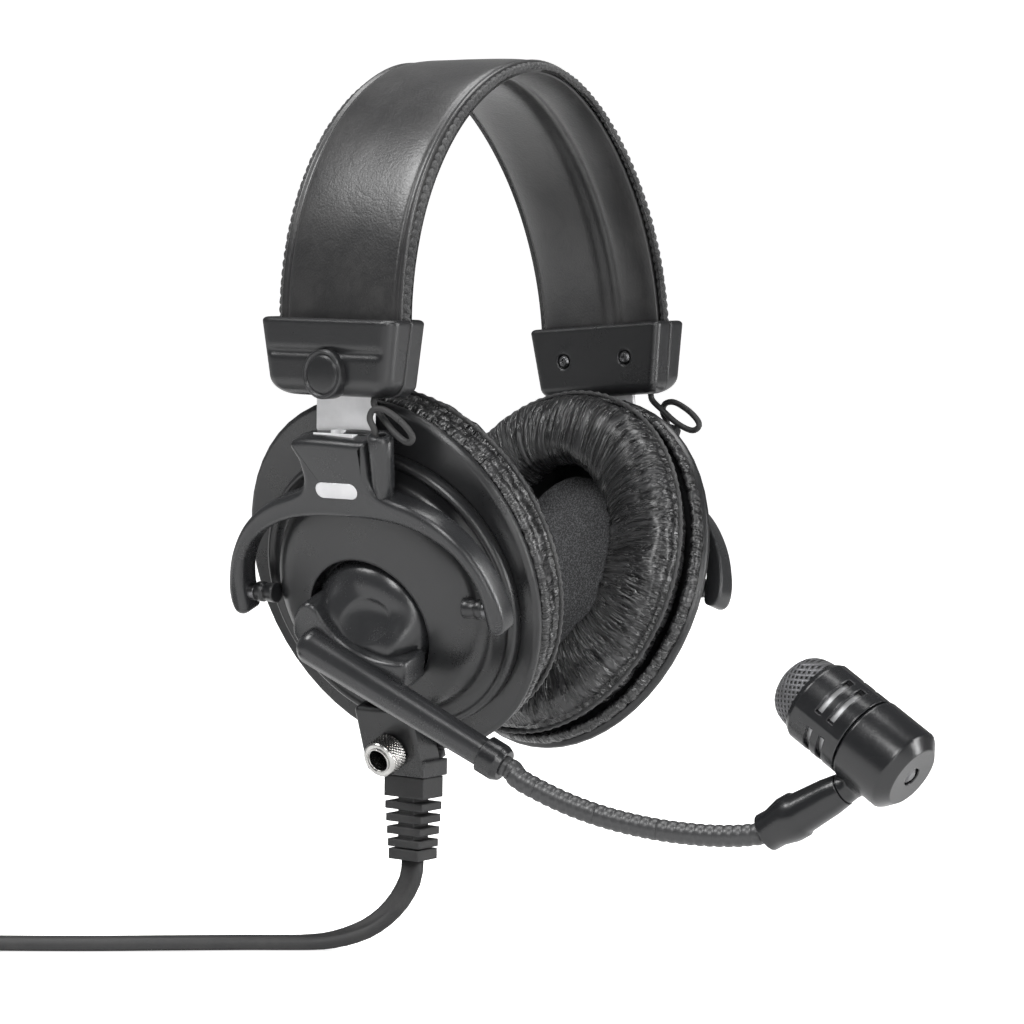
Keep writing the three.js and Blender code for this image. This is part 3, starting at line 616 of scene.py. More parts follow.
def smoothstep(value: float, low: float = 0.0, high: float = 1.0) -> float:
    """0 below low, 1 above high, smooth between.

    Args:
        value: What is eased.
        low: Where it leaves 0.
        high: Where it reaches 1.

    Returns:
        The eased share.
    """
    t = min(max((value - low) / (high - low), 0.0), 1.0)
    return t * t * (3 - 2 * t)


def settle(obj: bpy.types.Object) -> None:
    """Turns the object's modifiers into its mesh.

    Args:
        obj: The object, changed in place.
    """
    graph = bpy.context.evaluated_depsgraph_get()
    baked = bpy.data.meshes.new_from_object(obj.evaluated_get(graph))
    old = obj.data
    obj.modifiers.clear()
    obj.data = baked
    bpy.data.meshes.remove(old)


def carve(obj: bpy.types.Object, tools: Sequence[bpy.types.Object]) -> None:
    """Cuts the tools out of an object and removes them.

    Args:
        obj: The object, changed in place.
        tools: What is cut away.
    """
    for tool in tools:
        cut = obj.modifiers.new("cut", "BOOLEAN")
        cut.operation = "DIFFERENCE"
        cut.solver = "EXACT"
        cut.object = tool
    settle(obj)
    for tool in tools:
        bpy.data.objects.remove(tool)


def only_verts(geometry: Sequence[object]) -> list[bmesh.types.BMVert]:
    """The vertices among an operator's results."""
    return [item for item in geometry if isinstance(item, bmesh.types.BMVert)]


def spin_round(bm: bmesh.types.BMesh, profile: Sequence[tuple[float, float]], turn: Matrix,
               steps: int) -> None:
    """Turns an open (radius, height) profile that starts and ends on the axis, about the frame's Z.

    Args:
        bm: Where the shape is added.
        profile: (radius, height) pairs.
        turn: Where the shape is put.
        steps: Facets in a full turn.
    """
    verts = [bm.verts.new((radius, 0, height)) for radius, height in profile]
    line = [bm.edges.new(pair) for pair in zip(verts, verts[1:])]
    spun = bmesh.ops.spin(bm, geom=verts + line, cent=(0, 0, 0), axis=(0, 0, 1), angle=math.tau,
                          steps=steps, use_merge=True)
    whole = linked([*verts, *only_verts(spun["geom_last"])])
    bmesh.ops.remove_doubles(bm, verts=whole, dist=WELD)
    bmesh.ops.transform(bm, matrix=turn, verts=linked([vert for vert in whole if vert.is_valid]))


def linked(seeds: Sequence[bmesh.types.BMVert]) -> list[bmesh.types.BMVert]:
    """Every vertex joined by edges to the given ones.

    Args:
        seeds: Where to start.

    Returns:
        Every vertex reached.
    """
    found = set(seeds)
    waiting = list(found)
    while waiting:
        vert = waiting.pop()
        for link in vert.link_edges:
            other = link.other_vert(vert)
            if other not in found:
                found.add(other)
                waiting.append(other)
    return list(found)


def slab(outline: Sequence[tuple[float, float]], low: float, high: float, fillet: float,
         step: float = 1.0) -> bmesh.types.BMesh:
    """An outline in (Y, Z) drawn up along X, with a fillet round its outer rim.

    Args:
        outline: (Y, Z) corners, not closed.
        low: Bottom along X.
        high: Top along X.
        fillet: Width of the fillet.
        step: Spacing along the outline.

    Returns:
        The slab.
    """
    line = Route([(0, y, z) for y, z in (*outline, outline[0])], step)
    bm = bmesh.new()
    face = bm.faces.new([bm.verts.new((low, point.y, point.z)) for point in line.points[:-1]])
    drawn = bmesh.ops.extrude_face_region(bm, geom=[face])["geom"]
    bmesh.ops.translate(bm, vec=(high - low, 0, 0), verts=only_verts(drawn))
    rim = [edge for edge in bm.edges if all(vert.co.x > high - 0.01 for vert in edge.verts)]
    bmesh.ops.bevel(bm, geom=rim, offset=fillet, segments=4, profile=0.5, affect="EDGES", material=-1)
    return bm


class Route:
    """A smooth line through places, evenly stepped, with a frame carried along it."""

    def __init__(self, places: Sequence[Sequence[float]], step: float, up: Vector | None = None,
                 start_side: Vector | None = None) -> None:
        """Smooths, steps and frames a line.

        Args:
            places: What it passes through.
            step: Spacing of its points.
            up: Fixed upward direction, if any.
            start_side: First sideways direction, if carried.
        """
        dense = self._curve([Vector(p) for p in places])
        gaps = np.array([(b - a).length for a, b in zip(dense, dense[1:])])
        marks = np.concatenate([[0], np.cumsum(gaps)])
        self.length = float(marks[-1])
        self.count = max(int(round(self.length / step)), 2)
        even = np.linspace(0, self.length, self.count + 1)
        table = np.array(dense)
        stepped = np.stack([np.interp(even, marks, table[:, k]) for k in range(3)], 1)
        self.points = [Vector(p) for p in stepped]
        self.tangents = [(self.points[min(k + 1, self.count)] - self.points[max(k - 1, 0)]).normalized()
                         for k in range(self.count + 1)]
        self.sides = self._sides(up, start_side)

    @staticmethod
    def _curve(places: list[Vector]) -> list[Vector]:
        """Catmull-Rom points through the places, denser where they are sparse.

        Args:
            places: What it passes through.

        Returns:
            The dense points.
        """
        dense: list[Vector] = []
        ends = [places[0] * 2 - places[1], *places, places[-1] * 2 - places[-2]]
        for before, a, b, after in zip(ends, ends[1:], ends[2:], ends[3:]):
            for k in range(8):
                t = k / 8
                dense.append(0.5 * (2 * a + (b - before) * t + (2 * before - 5 * a + 4 * b - after) * t * t
                                    + (3 * a - before - 3 * b + after) * t ** 3))
        return [*dense, places[-1]]

    def _sides(self, up: Vector | None, start_side: Vector | None) -> list[Vector]:
        """Sideways directions: square to `up`, or carried along without twist.

        Args:
            up: Fixed upward direction, if any.
            start_side: First sideways direction, if carried.

        Returns:
            One direction for each point.
        """
        if up is not None:
            return [tangent.cross(up).normalized() for tangent in self.tangents]
        side = start_side or self.tangents[0].orthogonal()
        sides = []
        for tangent in self.tangents:
            side = (side - tangent * side.dot(tangent)).normalized()
            sides.append(side)
        return sides

    def at(self, distance: float) -> tuple[Vector, Vector, Vector]:
        """(point, sideways, upward) at a distance along the line.

        Args:
            distance: How far along, kept within the line.

        Returns:
            The point and its two directions.
        """
        share = min(max(distance / self.length, 0.0), 1.0) * self.count
        k = min(int(share), self.count - 1)
        t = share - k
        tangent = self.tangents[k].lerp(self.tangents[k + 1], t).normalized()
        side = self.sides[k].lerp(self.sides[k + 1], t)
        side = (side - tangent * side.dot(tangent)).normalized()
        return self.points[k].lerp(self.points[k + 1], t), side, side.cross(tangent)

    def tube(self, section: Section, stations: int, sides: int, start: float = 0.0,
             end: float | None = None) -> bmesh.types.BMesh:
        """A tube from start to end; section(distance, angle) gives (sideways, up).

        Args:
            section: Gives (sideways, up).
            stations: Quads along.
            sides: Quads round.
            start: Where it starts.
            end: Where it ends, or the line's end.

        Returns:
            The closed tube.
        """
        stop = self.length if end is None else end

        def place(u: float, v: float) -> Vector:
            """A corner of the tube's wall."""
            distance = start + (stop - start) * u
            point, side, upward = self.at(distance)
            a, b = section(distance, math.tau * v)
            return point + side * a + upward * b

        return seal(grid(stations, sides, place), WELD)


def round_section(radius: float) -> Section:
    """A plain round section.

    Args:
        radius: Its radius.

    Returns:
        The section.
    """
    return lambda _, angle: (radius * math.cos(angle), radius * math.sin(angle))


# ----------------------------------------------------------------- studio


@dataclass(frozen=True)
class Studio:
    """Camera, floor and soft lights."""

    eye: tuple[float, float, float] = (-0.85931, -0.65040, -0.03317)
    look: tuple[float, float, float] = (0.80022, 0.59499, -0.07502)
    roll: float = math.radians(0.746)
    lens: float = 140.9
    floor: float = -0.2311
    world_light: float = 0.16
    soft_boxes: tuple[tuple[str, tuple[float, float, float], tuple[float, float], float], ...] = (
        ("crown", (-0.95, -0.5, 0.7), (0.3, 0.5), 9),
        ("face", (-0.72, 0.46, 0.9), (0.5, 0.5), 13),
        ("top", (0.15, 0.1, 1.1), (0.7, 0.7), 11),
        ("edge", (-0.62, -0.95, 0.0), (0.12, 0.9), 5),
        ("strip_right", (0.4, -0.95, 0.1), (0.2, 1.0), 10),
    )

    def build(self) -> None:
        """Makes the camera, the floor and the lights."""
        forward = Vector(self.look).normalized()
        level = forward.cross(Vector((0, 0, 1))).normalized()
        upright = level.cross(forward)
        right = level * math.cos(self.roll) + upright * math.sin(self.roll)
        above = upright * math.cos(self.roll) - level * math.sin(self.roll)
        data = bpy.data.cameras.new("camera")
        data.lens = self.lens
        data.sensor_width = 36
        data.clip_end = 30
        camera = bpy.data.objects.new("camera", data)
        bpy.context.scene.collection.objects.link(camera)
        turn = Matrix((right, above, -forward)).transposed().to_4x4()
        camera.matrix_world = Matrix.Translation(self.eye) @ turn
        bpy.context.scene.camera = camera
        self._floor()
        for soft_box in self.soft_boxes:
            self._light(*soft_box)
        world = bpy.data.worlds.new("studio")
        world.use_nodes = True
        background = world.node_tree.nodes["Background"]
        background.inputs["Color"].default_value = (1.0, 1.0, 1.0, 1.0)
        background.inputs["Strength"].default_value = self.world_light
        bpy.context.scene.world = world
        bpy.context.scene.view_settings.view_transform = "Standard"

    def _floor(self) -> None:
        """A floor that sweeps up into a wall all round, far behind."""
        def place(u: float, v: float) -> Vector:
            """A place on the floor, from shares of the radius and the turn."""
            radius = 6.0 * u
            lift = 3.0 * smoothstep(radius, 3.2, 6.0) ** 1.5
            angle = math.tau * v
            return Vector((radius * math.cos(angle), radius * math.sin(angle), self.floor + lift))

        bm = grid(60, 64, place)
        bmesh.ops.remove_doubles(bm, verts=bm.verts, dist=1e-5)
        obj = lay("studio_floor", bm, Ground())

    @staticmethod
    def _light(name: str, spot: tuple[float, float, float], size: tuple[float, float],
               power: float) -> None:
        """One soft box aimed at the cups.

        Args:
            name: The light's name.
            spot: Where it stands.
            size: Width and height.
            power: Watts.
        """
        data = bpy.data.lights.new(name, "AREA")
        data.shape = "RECTANGLE"
        data.size, data.size_y = size
        data.energy = power
        obj = bpy.data.objects.new(name, data)
        bpy.context.scene.collection.objects.link(obj)
        aim = Vector((0, 0, -0.08)) - Vector(spot)
        obj.matrix_world = Matrix.Translation(spot) @ aim.to_track_quat("-Z", "Y").to_matrix().to_4x4()


# ------------------------------------------------------------------- cord


@dataclass(frozen=True)
class Cord:
    """Twin-lobe cord: down from the relief, along the floor, a coil, the plug."""

    width: float = 6.5
    height: float = 3.7
    centre: tuple[float, float] = (-94.7, 167.9)
    columns: tuple[float, ...] = (48.75, 42.25, 35.75, 29.25)
    low: float = -166.2
    layer: float = 4.2
    lead: tuple[tuple[float, float, float], ...] = (
        (-24, 2.2, -144.6), (-24.2, 2.4, -149.2), (-25.6, 4.1, -154.4), (-27.9, 7.2, -159.4),
        (-31.2, 11.6, -163.6), (-35.7, 17.6, -166.4), (-40.5, 23.8, -167.5), (-51.9, 37.3, -167.6),
        (-65.6, 52, -167.6), (-79.3, 66.7, -167.6), (-92.1, 82.1, -167.6), (-104.2, 98, -167.6),
        (-117, 115.9, -167.4), (-126.5, 129.1, -166.8),
    )
    cells: tuple[tuple[int, int], ...] = (
        (0, 0), (1, 0), (2, 0), (3, 0), (3, 1), (3, 2), (2, 2), (2, 1), (1, 1), (1, 2), (0, 2), (0, 1),
    )
    tail: tuple[tuple[float, float, float], ...] = (
        (-89.0, 216.6, -161.9), (-81.0, 216.6, -161.8), (-73.0, 216.6, -161.7), (-65.0, 216.6, -161.6),
    )

    def coil(self) -> list[tuple[float, float, float]]:
        """Points of the coil's turns, clockwise from above, cell by cell.

        Returns:
            The points, from the lead to the tail.
        """
        points = []
        sweep = 127 + 360 * (len(self.cells) - 1)
        for degree in range(6, sweep - 4, 12):
            turn = (degree - 66) / 360
            k = min(max(math.floor(turn), -1), len(self.cells) - 2)
            share = smoothstep(turn - k, 0.0, 60 / 360)
            here = self.cells[max(k, 0)]
            there = self.cells[k + 1]
            radius = self.columns[here[0]] * (1 - share) + self.columns[there[0]] * share
            level = here[1] * (1 - share) + there[1] * share
            angle = math.radians(217.1 - degree)
            points.append((self.centre[0] + radius * math.cos(angle),
                           self.centre[1] + radius * math.sin(angle),
                           self.low + self.layer * level))
        return points

    def build(self) -> bpy.types.Object:
        """Returns:
            The cord.
        """
        places = [*self.lead, *self.coil(), *self.tail]
        route = Route(places, 2.0, start_side=Vector((0, 1, 0)))
        route.sides = self._flattened(route)
        lobe = self.width / 4

        def section(distance: float, angle: float) -> tuple[float, float]:
            """Two joined lobes with a waist between."""
            across = math.cos(angle)
            reach = self.width / 2 * across
            waist = math.sqrt(max(1 - (abs(reach) - lobe) ** 2 / (self.width / 2 - lobe) ** 2, 0.0))
            tall = self.height / 2 * max(waist, 0.62 if abs(reach) < lobe else 0.0)
            return reach, math.copysign(tall, math.sin(angle)) if abs(math.sin(angle)) > 1e-6 else 0.0

        stations = int(route.length / 3.0)
        bm = route.tube(section, stations, 16)
        obj = lay("cord_run", bm, RUBBER, headset_frame())
        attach(obj, "cup_near")
        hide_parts("cord", "cord_coil")
        path = [headset_frame() @ point for point in route.points]
        tuple(path[0])
        log.info("cord length %.3f m", route.length * MM)
        return obj

    @staticmethod
    def _flattened(route: Route) -> list[Vector]:
        """Carried sideways directions, eased round until the broad side lies flat.

        Args:
            route: The cord's line.

        Returns:
            One direction for each point.
        """
        turned = []
        step = route.length / route.count
        for k, (side, tangent) in enumerate(zip(route.sides, route.tangents)):
            flat = tangent.cross(Vector((0, 0, 1)))
            share = smoothstep(k * step, 4.0, 45.0)
            if flat.length > 1e-3:
                flat.normalize()
                flat = flat if flat.dot(side) > 0 else -flat
                side = side.lerp(flat, share)
            turned.append((side - tangent * side.dot(tangent)).normalized())
        return turned


# --------------------------------------------------------------- headband


@dataclass(frozen=True)
class Headband:
    """Leatherette band: crowned outer skin, soft lining and braided edges."""

    half_span: float = 60.3
    rise: float = 68.9
    half_width: float = 21.0
    foot: float = -2.0
    turn: float = FAR_TURN
    drop: float = FAR_DROP

    def at(self, t: float, y: float, depth: float) -> Vector:
        """A place on the band: t from the far end to the near end, depth inward.

        Args:
            t: Share from far end to near end.
            y: Across the band.
            depth: Inward from the outer face.

        Returns:
            The place.
        """
        a, b = self.half_span - depth, self.rise - depth
        end = math.asin(min(self.foot / b, 1))
        angle = end + (math.pi - 2 * end) * t
        x, z = a * math.cos(angle), b * math.sin(angle)
        share = smoothstep(x, -self.half_span * 0.35, self.half_span * 0.97)
        turn = math.radians(self.turn * share)
        return Vector((x, y * math.cos(turn) - z * math.sin(turn),
                       y * math.sin(turn) + z * math.cos(turn) - self.drop * share))

    def outer_section(self, v: float, t: float) -> tuple[float, float]:
        """(y, depth) round the outer skin, with a bead inside each edge.

        Args:
            v: Share round the section.
            t: Share along the band.

        Returns:
            Its (y, depth).
        """
        half = self.half_width
        if v < 0.7:
            y = -half + 2 * half * (v / 0.7)
            edge = half - abs(y)
            crown = 0.3 * (y / half) ** 2 + 1.3 * (abs(y) / half) ** 6
            bead = -0.55 * math.exp(-((edge - 1.7) / 0.75) ** 2)
            bead += 0.45 * math.exp(-((edge - 3.2) / 0.55) ** 2)
            fall = 2.1 * (1 - min(edge / 1.3, 1.0)) ** 2
            swell = 0.1 * noise.noise(Vector((t * 9, y * 0.12, 2.0)))
            return y, crown + bead + fall + 0.1 + swell
        y = half - 2 * half * ((v - 0.7) / 0.3)
        return y * 0.985, 2.2

    def lining_section(self, v: float, t: float) -> tuple[float, float]:
        """(y, depth) round the lining, with a soft fold along it.

        Args:
            v: Share round the section.
            t: Share along the band.

        Returns:
            Its (y, depth).
        """
        half = 19.8
        if v < 0.72:
            y = half - 2 * half * (v / 0.72)
            rolls = 1.0 - 0.8 * math.exp(-((y + 5.5) / 2.6) ** 2)
            roll = 2.1 * (1 - (abs(y) / half) ** 5) * rolls
            wave = 0.12 * noise.noise(Vector((t * 9, y * 0.1, 7.0)))
            return y, 3.2 + roll + 0.4 + wave
        y = -half + 2 * half * ((v - 0.72) / 0.28)
        return y, 2.6

    def edge_route(self, sign: int) -> Route:
        """The line that the braid follows along one edge.

        Args:
            sign: -1 for the front edge, 1 for the rear.

        Returns:
            The line.
        """
        places = [self.at(0.004 + 0.992 * k / 80, sign * (self.half_width - 0.7), 2.3) for k in range(81)]
        return Route(places, 1.0, start_side=Vector((0, 1, 0)))

    def build(self) -> None:
        """Makes the skin, the lining and the braids."""
        stations = 260

        def outer(u: float, v: float) -> Vector:
            """A place on the outer skin."""
            y, depth = self.outer_section(v % 1.0, u)
            return self.at(u, y, depth)

        def lining(u: float, v: float) -> Vector:
            """A place on the lining."""
            y, depth = self.lining_section(v % 1.0, u)
            return self.at(u, y, depth)

        skin = lay("band_skin", seal(grid(stations, 110, outer), WELD), LEATHER, headset_frame())
        inner = lay("band_lining", seal(grid(stations, 70, lining), WELD), LINING, headset_frame())
        for obj, node, slot in ((skin, "band_cover", "band_leather"), (inner, "band_pad", "pad_leather")):
            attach(obj, "headband")
            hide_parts(node)
        for name, sign in (("band_braid_front", -1), ("band_braid_rear", 1)):
            braid = self.edge_route(sign).tube(self.whip_section, 1400, 14)
            obj = lay(name, braid, BRAID, headset_frame())
            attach(obj, "headband")

    @staticmethod
    def whip_section(distance: float, angle: float) -> tuple[float, float]:
        """A flat cord pinched by slanted whip stitches 2.4 mm apart.

        Args:
            distance: Along the braid.
            angle: Round the braid.

        Returns:
            (sideways, up).
        """
        slant = distance / 2.4 + 0.28 * math.sin(angle)
        lump = abs(math.sin(math.pi * slant)) ** 0.6
        ragged = 1 + 0.12 * noise.noise(Vector((distance * 0.9, math.cos(angle), 4.0)))
        radius = (0.55 + 0.45 * lump) * ragged
        return 1.25 * radius * math.cos(angle), 1.05 * radius * math.sin(angle)


# --------------------------------------------------------------- ear pads


@dataclass(frozen=True)
class EarPad:
    """Oval leatherette cushion, inflated by cloth simulation, then creased."""

    side: Side
    half_width: float = 44.6
    half_height: float = 48.4
    hole_width: float = 21.0
    hole_height: float = 27.0
    back: float = -3.6
    front: float = -21.2
    seam: float = -13.2
    cap: float = 2.2
    voxel: float = 0.0042
    moments: int = 20
    pressure: float = 4
    stiffness: float = 12

    def section(self, angle: float, size: float = 1.0, roundness: float = 0.62) -> tuple[float, float]:
        """(share from hole to rim, height share) of the cushion's rounded section.

        Args:
            angle: Round the section.
            size: Share of full size.
            roundness: 1 for an oval, less for squarer.

        Returns:
            The two shares.
        """
        c, s = math.cos(angle), math.sin(angle)
        return (math.copysign(abs(c) ** roundness, c) * size, math.copysign(abs(s) ** roundness, s) * size)

    def place(self, turn: float, across: float, depth: float) -> Vector:
        """A place in the cup's frame from a turn and two shares from -1 to 1.

        Args:
            turn: Round the cup.
            across: From hole to rim.
            depth: From front to back.

        Returns:
            The place.
        """
        y = math.cos(turn) * ((self.half_width + self.hole_width) / 2
                              + across * (self.half_width - self.hole_width) / 2)
        z = math.sin(turn) * ((self.half_height + self.hole_height) / 2
                              + across * (self.half_height - self.hole_height) / 2)
        return Vector(((self.back + self.front) / 2 + depth * (self.back - self.front) / 2, y, z))

    def start_mesh(self) -> bmesh.types.BMesh:
        """The slightly smaller cushion that is inflated.

        Returns:
            The cushion.
        """
        def at(u: float, v: float) -> Vector:
            """A place on the cushion."""
            across, depth = self.section(math.tau * v, 0.93)
            return self.place(math.tau * u, across, depth)

        bm = grid(110, 40, at)
        bmesh.ops.remove_doubles(bm, verts=bm.verts, dist=1e-3)
        return bm

    def inflate(self, obj: bpy.types.Object) -> None:
        """Remeshes the cushion and swells it with cloth pressure, then applies it.

        Args:
            obj: The cushion, changed in place.
        """
        remesh = obj.modifiers.new("remesh", "REMESH")
        remesh.mode = "VOXEL"
        remesh.voxel_size = self.voxel
        settle(obj)
        group = obj.vertex_groups.new(name="held")
        inward = cup_frame(self.side).inverted()
        depths = [(inward @ vert.co).x for vert in obj.data.vertices]
        group.add([k for k, depth in enumerate(depths) if depth > self.back - 2.6], 1.0, "REPLACE")
        rest = np.array([vert.co for vert in obj.data.vertices])
        cloth = obj.modifiers.new("cloth", "CLOTH")
        cloth.settings.use_pressure = True
        cloth.settings.uniform_pressure_force = self.pressure
        cloth.settings.effector_weights.gravity = 0
        cloth.settings.vertex_group_mass = "held"
        cloth.settings.tension_stiffness = self.stiffness
        cloth.settings.compression_stiffness = self.stiffness
        cloth.point_cache.frame_start = 1
        cloth.point_cache.frame_end = self.moments
        for moment in range(1, self.moments + 1):
            bpy.context.scene.frame_set(moment)
        settle(obj)
        bpy.context.scene.frame_set(1)
        places = np.array([vert.co for vert in obj.data.vertices])
        shift = places - rest
        reach = np.linalg.norm(shift, axis=1)
        limit = np.minimum(1.0, self.cap * MM / np.maximum(reach, 1e-9))
        obj.data.vertices.foreach_set("co", (rest + shift * limit[:, None]).astype(np.float32).ravel())

    def crease(self, obj: bpy.types.Object) -> None:
        """Gathers the skin in creases that fan out from the seam and the opening.

        Args:
            obj: The cushion, changed in place.
        """
        inward = cup_frame(self.side).inverted()
        seed = 3.0 if self.side is Side.NEAR else 11.0
        bm = bmesh.new()
        bm.from_mesh(obj.data)
        bm.normal_update()
        moves = []
        for vert in bm.verts:
            local = inward @ vert.co
            y, z = local.y / self.half_width, local.z / self.half_height
            share = math.hypot(y, z)
            turn = math.atan2(z, y)
            fan = Vector((math.cos(turn) * 9, math.sin(turn) * 9, seed + share * 0.9 + local.x * 0.03))
            pleat = 1 - abs(noise.noise(fan)) * 4.2
            fine = 1 - abs(noise.noise(fan * 2.3 + Vector((5, 1, seed)))) * 4
            near_seam = math.exp(-((local.x - self.seam) / 3.4) ** 2) * smoothstep(share, 0.75, 0.95)
            near_hole = 1 - smoothstep(share, 0.56, 0.78)
            weight = 0.22 + 0.62 * max(near_seam, near_hole)
            tuck = 0.9 * math.exp(-((local.x - self.seam) / 1.1) ** 2) * smoothstep(share, 0.85, 0.97)
            depth = weight * (0.62 * max(pleat, -0.3) + 0.3 * max(fine, -0.3)) + tuck
            moves.append(vert.normal * (-depth * MM))
        for vert, move in zip(bm.verts, moves):
            vert.co += move
        bm.to_mesh(obj.data)
        bm.free()

    def fan_out(self, obj: bpy.types.Object) -> None:
        """Writes the fan attribute: fine across the folds, slow along them.

        Args:
            obj: The object that gets the attribute.
        """
        inward = cup_frame(self.side).inverted()
        fan = obj.data.attributes.new("fan", "FLOAT_VECTOR", "POINT")
        values = []
        for vert in obj.data.vertices:
            local = inward @ vert.co
            turn = math.atan2(local.z / self.half_height, local.y / self.half_width)
            share = math.hypot(local.z / self.half_height, local.y / self.half_width)
            sway = 0.0012 * math.sin(share * 7 + turn * 5)
            values += [0.036 * math.cos(turn) + sway, 0.036 * math.sin(turn),
                       share * 0.0045 + local.x * 0.00018]
        fan.data.foreach_set("vector", values)

    def build(self) -> bpy.types.Object:
        """Makes the cushion and its seam.

        Returns:
            The cushion.
        """
        side = self.side.value
        obj = lay(f"cushion_{side}", self.start_mesh(), PAD_SKIN, cup_frame(self.side))
        self.inflate(obj)
        smooth = obj.modifiers.new("round", "SUBSURF")
        smooth.levels = 2
        smooth.render_levels = 2
        settle(obj)
        self.crease(obj)
        self.fan_out(obj)
        obj.data.shade_smooth()
        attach(obj, f"cup_{side}")
        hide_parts(f"ear_pad_{side}")
        self.build_seam()
        self.build_hem()
        return obj

    def rim_route(self, depth: float, grow: float) -> Route:
        """A closed oval line at one depth.

        Args:
            depth: Where along X.
            grow: How far outside the rim.

        Returns:
            The line.
        """
        places = [(depth, (self.half_width + grow) * math.cos(math.tau * k / 96),
                   (self.half_height + grow) * math.sin(math.tau * k / 96)) for k in range(97)]
        return Route(places, 1.2, up=Vector((1, 0, 0)))

    def build_seam(self) -> None:
        """The sewn cord where the front skin meets the skirt."""
        def section(distance: float, angle: float) -> tuple[float, float]:
            """A round cord that swells at each stitch."""
            stitch = 0.12 * math.cos(math.tau * distance / 2.9)
            radius = 0.62 + stitch
            return radius * math.cos(angle), radius * math.sin(angle)

        route = self.rim_route(self.seam, -0.15)
        obj = lay(f"pad_seam_{self.side.value}", route.tube(section, 700, 8), BRAID, cup_frame(self.side))
        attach(obj, f"cup_{self.side.value}")

    def build_hem(self) -> None:
        """The gathered hem that stretches over the cup's flange."""
        seed = 2.0 if self.side is Side.NEAR else 9.0

        def section(distance: float, angle: float) -> tuple[float, float]:
            """A flat oval with uneven gathers."""
            gather = 0.3 * noise.noise(Vector((distance * 0.55, math.sin(angle), seed)))
            swell = 1.0 + gather
            return 1.3 * swell * math.cos(angle), 2.1 * swell * math.sin(angle)

        route = self.rim_route(self.back - 1.9, -0.2)
        obj = lay(f"pad_hem_{self.side.value}", route.tube(section, 600, 12), PAD_SKIN, cup_frame(self.side))
        self.fan_out(obj)
        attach(obj, f"cup_{self.side.value}")


# ------------------------------------------------------------- gooseneck


@dataclass(frozen=True)
class Gooseneck:
    """Ribbed flexible tube in four stretches, each running through one of the neck's joints."""

    route: tuple[tuple[float, float, float], ...] = (
        (-45, -48.6, -116.4), (-43, -58.2, -120.4), (-41, -67.2, -123.2), (-38.6, -76.2, -125.2),
        (-36.6, -86.4, -126.4), (-34.2, -97.4, -126.8), (-31.8, -106, -126.4), (-29.9, -112.4, -125.4),
    )
    radius: float = 2.85
    rib: float = 0.22
    pitch: float = 2.45

    def build(self) -> None:
        """Makes four stretches that meet in the middle of each link."""
        boom_end = headset_frame().inverted() @ (cup_frame(Side.NEAR) @ Vector(Boom.collar))
        boom_tail = headset_frame().inverted() @ (cup_frame(Side.NEAR) @ Vector(Boom.tail))
        along = (boom_end - boom_tail).normalized()
        start = boom_end + along * 5.0
        first_joint = boom_end + along * 9.6
        line = Route([start, first_joint, *self.route], 0.6, start_side=Vector((1, 0, 0)))
        before = (first_joint - start).length
        whole = line.length - before
        ribs = round(line.length / self.pitch)
        pitch = line.length / ribs

        def section(distance: float, angle: float) -> tuple[float, float]:
            """A round section with shallow ribs."""
            wave = math.cos(math.tau * distance / pitch)
            radius = self.radius - self.rib * (0.5 + 0.5 * wave) ** 2
            return radius * math.cos(angle), radius * math.sin(angle)

        middles = [before + whole * (k + 0.5) / 4 for k in range(3)]
        cuts = [0.0, *(round(middle / pitch) * pitch for middle in middles), line.length]
        joints = [before + whole * k / 4 for k in range(4)]
        for k in range(4):
            stations = int((cuts[k + 1] - cuts[k]) / pitch * 10)
            bm = line.tube(section, stations, 40, cuts[k], cuts[k + 1])
            obj = lay(f"neck_skin_{k + 1}", bm, NECK_COAT, headset_frame())
            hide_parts(f"gooseneck_{k + 1}")
            reach = 3.5 if k == 0 else 7.5
            low, high = (headset_frame() @ line.at(joints[k] + shift)[0] for shift in (-reach, reach))
            tuple(low)
            tuple(high)
            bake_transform(obj)


# ------------------------------------------------------------- link wires


@dataclass(frozen=True)
class LinkWire:
    """Thin lead that loops from an end block, round the slider, to the yoke."""

    side: Side
    radius: float = 0.85
    places: tuple[tuple[float, float, float], ...] = (
        (60.6, 12.4, -19.8), (61.0, 12.6, -21.8), (61.4, 15.4, -24.6), (61.8, 20.0, -28.6),
        (62.3, 24.6, -30.8), (62.9, 26.6, -29.2), (63.4, 23.6, -25.8), (63.8, 18.4, -22.8),
        (64.1, 14.8, -22.9), (64.1, 13.7, -25.2), (63.9, 15.0, -27.8), (63.3, 15.3, -30.6),
        (61.2, 14.2, -36.5),
    )

    def build(self) -> None:
        """Makes two stretches, one each side of the slider's end."""
        sign = 1 if self.side is Side.NEAR else -1
        line = Route([(x, y * sign, z) for x, y, z in self.places], 0.4)
        middle = line.length * 0.52
        name = self.side.value
        for k, (low, high) in enumerate(((0.0, middle), (middle, line.length))):
            bm = line.tube(round_section(self.radius), 40, 12, low, high)
            obj = lay(f"link_wire_{name}_{k + 1}", bm, RUBBER, side_frame(self.side))
            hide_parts(f"link_wire_{name}")
            ends = [tuple(side_frame(self.side) @ line.at(d)[0]) for d in (low, high)]
            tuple(ends[0])
            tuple(ends[1])
            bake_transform(obj)


# ------------------------------------------------------------- end blocks

ALONG_X = Matrix.Rotation(math.radians(90), 4, "Y")


